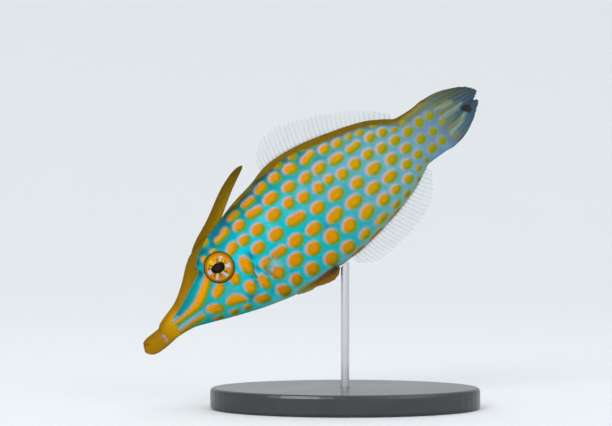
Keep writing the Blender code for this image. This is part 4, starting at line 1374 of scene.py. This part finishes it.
def lay_sheet(name, columns, rows, lay):
    """A fin from a grid: laid out by its places along and out, then thickened by its own weights."""
    deselect()
    bpy.ops.mesh.primitive_grid_add(x_subdivisions=columns, y_subdivisions=rows, size=2 * hundredth())
    piece = named(name)
    along, out, _ = np.clip((coordinates(piece) + 1) / 2, 0.0, 1.0).T
    points, half, ray = lay(along, out)
    place_points(piece, points)
    store(piece, ray=ray, along=along, out=out)
    group = piece.vertex_groups.new(name="thickness")
    for index, weight in enumerate(half / half.max()):
        group.add((index,), float(weight), "REPLACE")
    solid = piece.modifiers.new("Thickness", "SOLIDIFY")
    solid.thickness = 2 * half.max() * hundredth()
    solid.offset = 0.0
    solid.vertex_group = group.name
    only(piece)
    bpy.ops.object.modifier_apply(modifier=solid.name)
    outward(piece)
    return piece


def edge_fin_lay(edge, up, rays, base, lengths, wave):
    """Lays out a fin along the back (up is 1) or the belly (up is -1)."""

    def lay(along, out):
        x = between(*base, along)
        ray = ray_ridge(along, rays, 0.2)
        lean = np.radians(smooth(FIN_LEAN, x))
        length = smooth(lengths, x) * (0.9 + 0.1 * ray)
        swing = wave * sum(high * np.sin(2 * math.pi * waves * along) for waves, high in FIN_WAVES)
        reach = length * out
        px = x + reach * np.sin(lean) + FIN_BEND * length * out * out
        ph = edge(x) - up * FIN_ROOT * (1 - out) + up * reach * np.cos(lean)
        half = between(*FIN_WEB, out) + ray * between(*FIN_RAY, out)
        return np.column_stack((px, swing * out * out, ph)), half, ray

    return lay


def build_edge_fin(name, node, material, edge, up, rays, base, lengths, wave):
    lay = edge_fin_lay(edge, up, rays, base, lengths, wave)
    piece = lay_sheet(name, (rays - 1) * 8, 22, lay)
    return finish(piece, material, (node,))


def clear_fin_paint():
    """A clear fin: glassy web between pale rays, with faint cross lines on the rays."""
    paint = Paint("clear_fin_web", roughness=0.35, specular=0.2)
    ray, out = paint.attribute("ray"), paint.attribute("out")
    cloud = paint.noise(paint.level_place(), 0.8, 2.0)
    joints = paint.math("SINE", out * 150.0) * 0.5 + 0.5
    paint.put("Base Color", paint.layers(
        (0.45, 0.55, 0.58),
        ((0.5, 0.52, 0.48), ray),
        ((0.3, 0.17, 0.03), out.step(0.16, 0.0) * 0.8),
    ))
    web = 0.1 + cloud * 0.08 + out.step(0.2, 0.0) * 0.25
    solid = ray.step(0.4, 1.0) * (0.2 + joints * 0.04) * out.step(1.2, 0.5)
    paint.put("Alpha", (web + solid).least(1.0))
    paint.bump(ray.step(0.2, 0.9), 0.00006)
    return paint.material


def flap_lay(along, out):
    """Lays out the flap of skin under the belly, its rays standing a little proud of its edge."""
    x = between(*FLAP_BASE, along)
    ray = ray_ridge(along, FLAP_RAYS, 0.24)
    lean = np.radians(smooth(FLAP_LEAN, x))
    reach = smooth(FLAP_DEPTHS, x) * (0.96 + 0.04 * ray) * out
    px = x + reach * np.sin(lean)
    ph = belly(x) + FLAP_ROOT * (1 - out) - reach * np.cos(lean)
    half = between(*FLAP_WEB, out ** 0.7) + ray * FLAP_RAY * out
    return np.column_stack((px, np.zeros(len(x)), ph)), half, ray


def build_flap():
    piece = lay_sheet("belly_flap_skin", FLAP_RAYS * 12, 24, flap_lay)
    return finish(piece, flap_paint(), ("belly_flap",))


def flap_paint():
    """The belly flap: orange-brown with a yellowish front and a thin pale edge."""
    paint = Paint("belly_flap_skin", roughness=0.5, specular=0.05)
    level = paint.level_place()
    x = paint.parts(level)[0]
    mottle = paint.noise(level, 1.6, 3.0, 0.6)
    out, ray = paint.attribute("out"), paint.attribute("ray")
    paint.put("Base Color", paint.layers(
        flap_colour(paint, x, mottle),
        ((0.24, 0.1, 0.004), out.step(0.4, 0.75) * x.step(40.6, 42.5) * 0.7),
        ((0.26, 0.16, 0.01), ray.step(0.5, 1.0) * 0.2),
        ((0.1, 0.2, 0.17), out.step(0.9, 0.99) * 0.75),
    ))
    paint.bump(ray * 0.6 + mottle * 0.5, 0.00008)
    return paint.material


def tail_lay(along, out):
    """Lays out the tail fin, its rays splitting in two and drawn together to a blunt tip."""
    place = along * 2 - 1
    offset = along * TAIL_RAYS - 0.5
    offset = offset - np.round(offset)
    split = 0.2 * step_up(out, 0.35, 1.0)
    ray = hill(np.abs(offset) - split, between(0.2, 0.11, out))
    foot_h = TAIL_ROOT_MIDDLE + TAIL_ROOT_HALF_HEIGHT * place
    tip_x = smooth(TAIL_TIPS, place, 1) - 0.3 * (1 - ray) * out
    x = between(TAIL_ROOT, tip_x, out)
    h = between(foot_h, smooth(TAIL_TIPS, place, 2), out ** TAIL_DRAW_IN)
    root = between(*TAIL_ROOT_WEB, np.sqrt(np.maximum(1 - place * place, 0.0)))
    web = between(root, TAIL_WEB, np.minimum(out / 0.3, 1.0) ** 0.8)
    half = web + ray * between(*TAIL_RAY, out)
    return np.column_stack((x, np.zeros(len(x)), h)), half, ray


def build_tail():
    piece = lay_sheet("tail_fin_fan", TAIL_RAYS * 14, 60, tail_lay)
    x, _, h = coordinates(piece).T
    store_tail_marks(piece, x, h)
    return finish(piece, tail_paint(), ("tail_fin",))


def tail_paint():
    """The tail fin: olive and grey-blue with yellowish streaks, an orange-brown edge and a dark blotch."""
    paint = Paint("streaked_tail_fin", roughness=0.5, specular=0.06)
    level = paint.level_place()
    x, _, h = paint.parts(level)
    wander = paint.noise(level, 0.9, 2.0) - 0.5
    mottle = paint.noise(level, 2.5, 3.0, 0.6)
    ray, along, out = (paint.attribute(name) for name in ("ray", "along", "out"))

    def away(place, flatness):
        aside, over = x - place[0], h - place[1]
        return (aside * aside + over * over * flatness) ** 0.5 + wander * 0.9

    blotch = away(TAIL_BLOTCH, 0.8)
    paint.put("Base Color", paint.layers(
        tail_ground(paint, x, h, wander),
        ((0.15, 0.18, 0.15), ray.step(0.3, 1.0) * 0.25),
        ((0.14, 0.06, 0.004), along.step(0.945, 0.985) * 0.9),
        ((0.02, 0.09, 0.12), along.step(0.06, 0.01) * 0.5),
        ((0.002, 0.015, 0.03), away(BLOTCH_SHADOW, 1.0).step(1.1, 0.4) * 0.9),
        ((0.022, 0.016, 0.008), blotch.step(1.25, 0.6) * 0.93),
        ((0.05, 0.07, 0.06), mottle.over(0.48) * 1.4),
    ))
    solid = 0.92 + ray * 0.08 + out.step(0.5, 0.1) * 0.1 + blotch.step(1.35, 0.7) * 0.1
    paint.put("Alpha", solid.least(1.0))
    paint.bump(ray * 0.8 + mottle * 0.3, 0.00006)
    return paint.material


def pectoral_lay(along, out):
    """Lays out the left pectoral fin behind the gill slit, standing off the flank."""
    angle = np.radians(between(*PECTORAL_SPREAD, along))
    off = math.radians(PECTORAL_OFF)
    ray = ray_ridge(along, PECTORAL_RAYS, 0.2)
    aside = np.full(len(along), LEFT * math.sin(off))
    direction = np.column_stack((np.cos(angle) * math.cos(off), aside, np.sin(angle) * math.cos(off)))
    foot_x = between(PECTORAL_TOP[0], PECTORAL_FOOT[0], along)
    foot_h = between(PECTORAL_TOP[1], PECTORAL_FOOT[1], along)
    foot = np.column_stack((foot_x, LEFT * flank(foot_x, foot_h), foot_h))
    length = smooth(PECTORAL_LENGTHS, along) * (0.92 + 0.08 * ray)
    points = foot + direction * between(-PECTORAL_SUNK, length, out)[:, None]
    points[:, 1] -= LEFT * PECTORAL_CURL * out ** 3
    half = between(*PECTORAL_WEB, np.minimum(out * 2.2, 1.0)) + ray * between(*PECTORAL_RAY, out)
    return points, half, ray


def build_pectoral():
    piece = lay_sheet("left_pectoral_fin", (PECTORAL_RAYS - 1) * 8, 24, pectoral_lay)
    return finish(piece, pectoral_paint(), ("pectoral_fin_left",))


def pectoral_paint():
    """A clear fan with fine pale rays, a cloudy white patch and an orange-brown root."""
    paint = Paint("pectoral_fin_web", roughness=0.35, specular=0.12)
    ray, along, out = (paint.attribute(name) for name in ("ray", "along", "out"))
    cloud = paint.noise(paint.level_place(), 0.9, 2.0)
    patch = along.step(0.05, 0.2) * along.step(0.48, 0.28) * out.step(0.2, 0.4) * out.step(0.85, 0.6)
    root = out.step(0.2, 0.1)
    paint.put("Base Color", paint.layers(
        (0.26, 0.42, 0.36),
        ((0.45, 0.26, 0.04), ray.most(along.step(0.3, 0.55))),
        ((0.4, 0.6, 0.6), patch),
        ((0.3, 0.12, 0.01), root),
    ))
    web = 0.01 + cloud * 0.02 + root * (0.25 + along * 0.4) + patch * 0.22
    paint.put("Alpha", (web + ray.step(0.4, 1.0) * 0.08 * out.step(1.1, 0.6)).least(1.0))
    paint.bump(ray, 0.00006)
    return paint.material


# The first dorsal spine

def build_spine():
    """The blade of the first dorsal spine, extruded along its length, with small barbs up both sides."""
    start, end = SPINE_FRONT[0][0], SPINE_FRONT[-1][0]
    shares = [1 - (1 - k / SPINE_RINGS) ** SPINE_CROWDING for k in range(SPINE_RINGS + 1)]
    places = [between(start, end, share) for share in shares]
    rings = []
    for x in places:
        front, rear = float(smooth(SPINE_FRONT, x)), float(smooth(SPINE_WEB, x))
        rings.append(((front + rear) / 2, spine_half(x), (front - rear) / 2))
    piece = extrude_tube("dorsal_spine_blade", places, rings, SPINE_POINTS)
    points = coordinates(piece)
    x, _, h = points.T
    front, rear = smooth(SPINE_FRONT, x), smooth(SPINE_WEB, x)
    height = np.clip((h - rear) / np.maximum(front - rear, 0.1), 0.0, 1.0)
    points[:, 1] *= between(0.35, 1.0, step_up(height, 0.25, 0.65))
    place_points(piece, points)
    store(piece, height=height)
    thorn = model_barb()
    roots = np.linspace(start + BARB_ENDS[0], end - BARB_ENDS[1], SPINE_BARBS)
    barbs = [set_barb(thorn, x, side) for side in (LEFT, RIGHT) for x in roots]
    bpy.data.objects.remove(thorn)
    piece = join("dorsal_spine_blade", [piece, *barbs])
    outward(piece)
    return finish(piece, spine_paint(), ("dorsal_spine",))


def spine_half(x):
    """Half the spine's thickness, thinning up its length and rounded off at its tip."""
    start, end = SPINE_FRONT[0][0], SPINE_FRONT[-1][0]
    tip = min((end - x) / SPINE_TIP, 1.0)
    return between(*SPINE_HALF, (x - start) / (end - start)) * max(math.sqrt(tip * (2 - tip)), 0.12)


def model_barb():
    """One small hooked barb, its root at the origin: a stub drawn out and bent over towards +x."""
    unit = hundredth()
    deselect()
    bpy.ops.mesh.primitive_cone_add(vertices=6, radius1=0.13 * unit, radius2=0.09 * unit, depth=0.2 * unit)
    thorn = named("barb")
    for face in thorn.data.polygons:
        face.select = face.normal.z > 0.9
    bpy.ops.object.mode_set(mode="EDIT")
    bpy.ops.mesh.select_mode(type="FACE")
    for shift, rise, taper in BARB_BENDS:
        move = (shift * unit, 0.0, rise * unit)
        bpy.ops.mesh.extrude_region_move(TRANSFORM_OT_translate={"value": move})
        bpy.ops.transform.resize(value=(taper, taper, taper))
    bpy.ops.object.mode_set(mode="OBJECT")
    store(thorn, height=np.ones(len(thorn.data.vertices)))
    return thorn


def set_barb(thorn, x, side):
    """A copy of the barb on the spine's front edge, leaning out to one side and hooked down its length."""
    slope = float(smooth(SPINE_FRONT, x + 0.3) - smooth(SPINE_FRONT, x - 0.3)) / 0.6
    down = -Vector((1.0, 0.0, slope)).normalized()
    up = Vector((-slope, 0.0, 1.0)).normalized()
    aside, lifted, lowered = BARB_AIM
    aim = (Vector((0.0, side * aside, 0.0)) + up * lifted + down * lowered).normalized()
    hook = (down - aim * down.dot(aim)).normalized()
    turn = Matrix((hook, aim.cross(hook), aim)).transposed().to_4x4()
    off_middle, sunk = BARB_ROOT
    root = Vector((x, side * spine_half(x) * off_middle, float(smooth(SPINE_FRONT, x)) - sunk))
    copy = copied(thorn, "barb")
    copy.data.transform(Matrix.Translation(root * hundredth()) @ turn)
    return copy


def spine_paint():
    """The spine: ochre brown, brighter low down on its web."""
    paint = Paint("ochre_spine", roughness=0.5, specular=0.04)
    level = paint.level_place()
    grain = paint.noise(paint.stretch(level, (0.5, 2.0, 2.0)), 1.6, 3.0, 0.6)
    x = paint.parts(level)[0] + (grain - 0.5) * 6.0
    blade = paint.along(x, (
        (23.0, (0.135, 0.075, 0.001)), (30.0, (0.15, 0.077, 0.001)), (37.0, (0.125, 0.076, 0.001)),
        (43.0, (0.092, 0.061, 0.001)),
    ))
    low = paint.attribute("height").step(0.8, 0.15) * x.step(46.0, 30.0)
    paint.put("Base Color", paint.layers(
        blade,
        ((0.32, 0.19, 0.001), low * 0.85),
        ((0.2, 0.11, 0.002), grain.over(0.48) * 2.0),
    ))
    paint.bump(grain, 0.00008)
    return paint.material


# The stand

def base_paint():
    """Satin black acrylic with a faint haze."""
    paint = Paint("satin_black_base", roughness=0.3, coat=0.3, coat_roughness=0.15)
    place = paint.object_place()
    haze = paint.noise(place, 60.0, 3.0)
    fine = paint.noise(place, 1500.0, 2.0)
    paint.put("Base Color", paint.mix((0.018, 0.018, 0.02), (0.035, 0.035, 0.038), haze))
    paint.put("Roughness", 0.26 + haze * 0.12)
    paint.bump(fine, 0.00001)
    return paint.material


def rod_paint():
    """Brushed steel, its scratches running round the rod."""
    paint = Paint("brushed_steel_rod", roughness=0.3, metallic=1.0)
    place = paint.stretch(paint.object_place(), (30.0, 30.0, 900.0))
    scratch = paint.noise(place, 6.0, 4.0, 0.7)
    paint.put("Base Color", paint.mix((0.5, 0.5, 0.52), (0.7, 0.7, 0.72), scratch))
    paint.put("Roughness", 0.22 + scratch * 0.18)
    paint.bump(scratch, 0.00001)
    return paint.material


# The stage

def build_cove(colour):
    """The floor, extruded out and up into a sweep all round."""
    deselect()
    bpy.ops.mesh.primitive_circle_add(vertices=128, radius=FLOOR_RADIUS, fill_type="NGON")
    cove = named("studio_cove")
    bpy.ops.object.mode_set(mode="EDIT")
    bpy.ops.mesh.select_mode(type="EDGE")
    bpy.ops.mesh.select_all(action="SELECT")
    bpy.ops.mesh.region_to_loop()
    radius, height = FLOOR_RADIUS, 0.0
    for step in range(1, SWEEP_STEPS + 1):
        turn = step * math.pi / 2 / SWEEP_STEPS
        after, over = FLOOR_RADIUS + SWEEP_CURVE * math.sin(turn), SWEEP_CURVE * (1 - math.cos(turn))
        growth = after / radius
        bpy.ops.mesh.extrude_region_move(TRANSFORM_OT_translate={"value": (0.0, 0.0, over - height)})
        bpy.ops.transform.resize(value=(growth, growth, 1.0), center_override=(0.0, 0.0, 0.0))
        radius, height = after, over
    bpy.ops.object.mode_set(mode="OBJECT")
    bpy.ops.object.shade_smooth()
    paint = Paint("matte_pale_floor", roughness=0.85, specular=0.2)
    paint.put("Base Color", colour)
    cove.data.materials.append(paint.material)


def build_stage():
    """A pale round sweep that curves up all round, soft lights and the camera."""
    stage = bpy.context.scene.filefish_stage
    build_cove(stage.floor_colour)
    middle = Vector(STAGE_MIDDLE)
    for name, place, size, share in LIGHTS:
        soft_light(name, middle + Vector(place), size, stage.key_power * share, middle)
    world = bpy.context.scene.world or bpy.data.worlds.new("studio_air")
    bpy.context.scene.world = world
    world.use_nodes = True
    air = world.node_tree.nodes["Background"].inputs
    air["Color"].default_value = SKY_TINT
    air["Strength"].default_value = stage.sky
    bpy.context.scene.view_settings.view_transform = "Standard"

    data = bpy.data.cameras.new("photo_camera")
    data.lens = CAMERA_LENS
    data.sensor_width = SENSOR_WIDTH
    camera = bpy.data.objects.new("photo_camera", data)
    camera.location = middle + Vector((CAMERA_ASIDE, -stage.distance, CAMERA_OVER))
    camera.rotation_euler = (math.pi / 2, 0.0, 0.0)
    bpy.context.scene.collection.objects.link(camera)
    bpy.context.scene.camera = camera


def soft_light(name, place, size, power, aim):
    """A round soft light that points at one place."""
    data = bpy.data.lights.new(name, "AREA")
    data.energy = power
    data.shape = "DISK"
    data.size = size
    lamp = bpy.data.objects.new(name, data)
    lamp.location = place
    lamp.rotation_euler = (aim - place).to_track_quat("-Z", "Y").to_euler()
    bpy.context.scene.collection.objects.link(lamp)


# Operators, the panel and the run

class FILEFISH_OT_stage(bpy.types.Operator):
    """Set the floor, the lights and the camera"""

    bl_idname = "filefish.stage"
    bl_label = "Stage"

    def execute(self, context):
        build_stage()
        return {"FINISHED"}


class FILEFISH_OT_skin(bpy.types.Operator):
    """Model the one skin of the body with its markings"""

    bl_idname = "filefish.skin"
    bl_label = "Skin"

    def execute(self, context):
        build_skin()
        return {"FINISHED"}


class FILEFISH_OT_eyes(bpy.types.Operator):
    """Set an eye in each socket"""

    bl_idname = "filefish.eyes"
    bl_label = "Eyes"

    def execute(self, context):
        mirrored(build_eye(), "right_eye", "eye_right")
        return {"FINISHED"}


class FILEFISH_OT_clear_fins(bpy.types.Operator):
    """Stand the clear fins on the back and the belly and set the pectoral fins"""

    bl_idname = "filefish.clear_fins"
    bl_label = "Clear Fins"

    def execute(self, context):
        clear = clear_fin_paint()
        dorsal = (back, 1, DORSAL_RAYS, DORSAL_BASE, DORSAL_LENGTHS, FIN_WAVE_HEIGHT)
        anal = (belly, -1, ANAL_RAYS, ANAL_BASE, ANAL_LENGTHS, -FIN_WAVE_HEIGHT)
        build_edge_fin("clear_dorsal_fin", "dorsal_fin", clear, *dorsal)
        build_edge_fin("clear_anal_fin", "anal_fin", clear, *anal)
        mirrored(build_pectoral(), "right_pectoral_fin", "pectoral_fin_right")
        return {"FINISHED"}


class FILEFISH_OT_tail(bpy.types.Operator):
    """Fan the tail fin out of the stalk"""

    bl_idname = "filefish.tail"
    bl_label = "Tail Fin"

    def execute(self, context):
        build_tail()
        return {"FINISHED"}


class FILEFISH_OT_spine(bpy.types.Operator):
    """Raise the barbed first spine over the head"""

    bl_idname = "filefish.spine"
    bl_label = "Dorsal Spine"

    def execute(self, context):
        build_spine()
        return {"FINISHED"}


class FILEFISH_OT_flap(bpy.types.Operator):
    """Hang the flap of skin under the belly"""

    bl_idname = "filefish.flap"
    bl_label = "Belly Flap"

    def execute(self, context):
        build_flap()
        return {"FINISHED"}


class FILEFISH_OT_stand(bpy.types.Operator):
    """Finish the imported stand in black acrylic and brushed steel"""

    bl_idname = "filefish.stand"
    bl_label = "Stand"

    def execute(self, context):
        for node, material in (("stand_base", base_paint()), ("stand_rod", rod_paint())):
            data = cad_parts[node].data
            data.materials.clear()
            data.materials.append(material)
        return {"FINISHED"}


class FILEFISH_PT_model(bpy.types.Panel):
    """Lists the fish's sizes, colours and pieces"""

    bl_idname = "FILEFISH_PT_model"
    bl_label = "Harlequin Filefish"
    bl_space_type = "VIEW_3D"
    bl_region_type = "UI"
    bl_category = "Filefish"

    def draw(self, context):
        scene = context.scene
        for group in (scene.filefish_sizes, scene.filefish_colours, scene.filefish_stage):
            box = self.layout.box()
            for name in group.bl_rna.properties.keys():
                if name not in ("rna_type", "name"):
                    box.prop(group, name)
        for step in STEPS:
            self.layout.operator(step.bl_idname)


STEPS = (
    FILEFISH_OT_stage, FILEFISH_OT_skin, FILEFISH_OT_eyes, FILEFISH_OT_clear_fins, FILEFISH_OT_tail,
    FILEFISH_OT_spine, FILEFISH_OT_flap, FILEFISH_OT_stand,
)
CLASSES = (FishSizes, FishColours, StageSettings, *STEPS, FILEFISH_PT_model)


def register():
    for made in CLASSES:
        bpy.utils.register_class(made)
    bpy.types.Scene.filefish_sizes = PointerProperty(type=FishSizes)
    bpy.types.Scene.filefish_colours = PointerProperty(type=FishColours)
    bpy.types.Scene.filefish_stage = PointerProperty(type=StageSettings)


def unregister():
    del bpy.types.Scene.filefish_stage
    del bpy.types.Scene.filefish_colours
    del bpy.types.Scene.filefish_sizes
    for made in reversed(CLASSES):
        bpy.utils.unregister_class(made)


def main():
    """Builds every piece in order."""
    register()
    bpy.ops.filefish.stage()
    bpy.ops.filefish.skin()
    bpy.ops.filefish.eyes()
    bpy.ops.filefish.clear_fins()
    bpy.ops.filefish.tail()
    bpy.ops.filefish.spine()
    bpy.ops.filefish.flap()
    bpy.ops.filefish.stand()


if __name__ == "__main__":
    main()
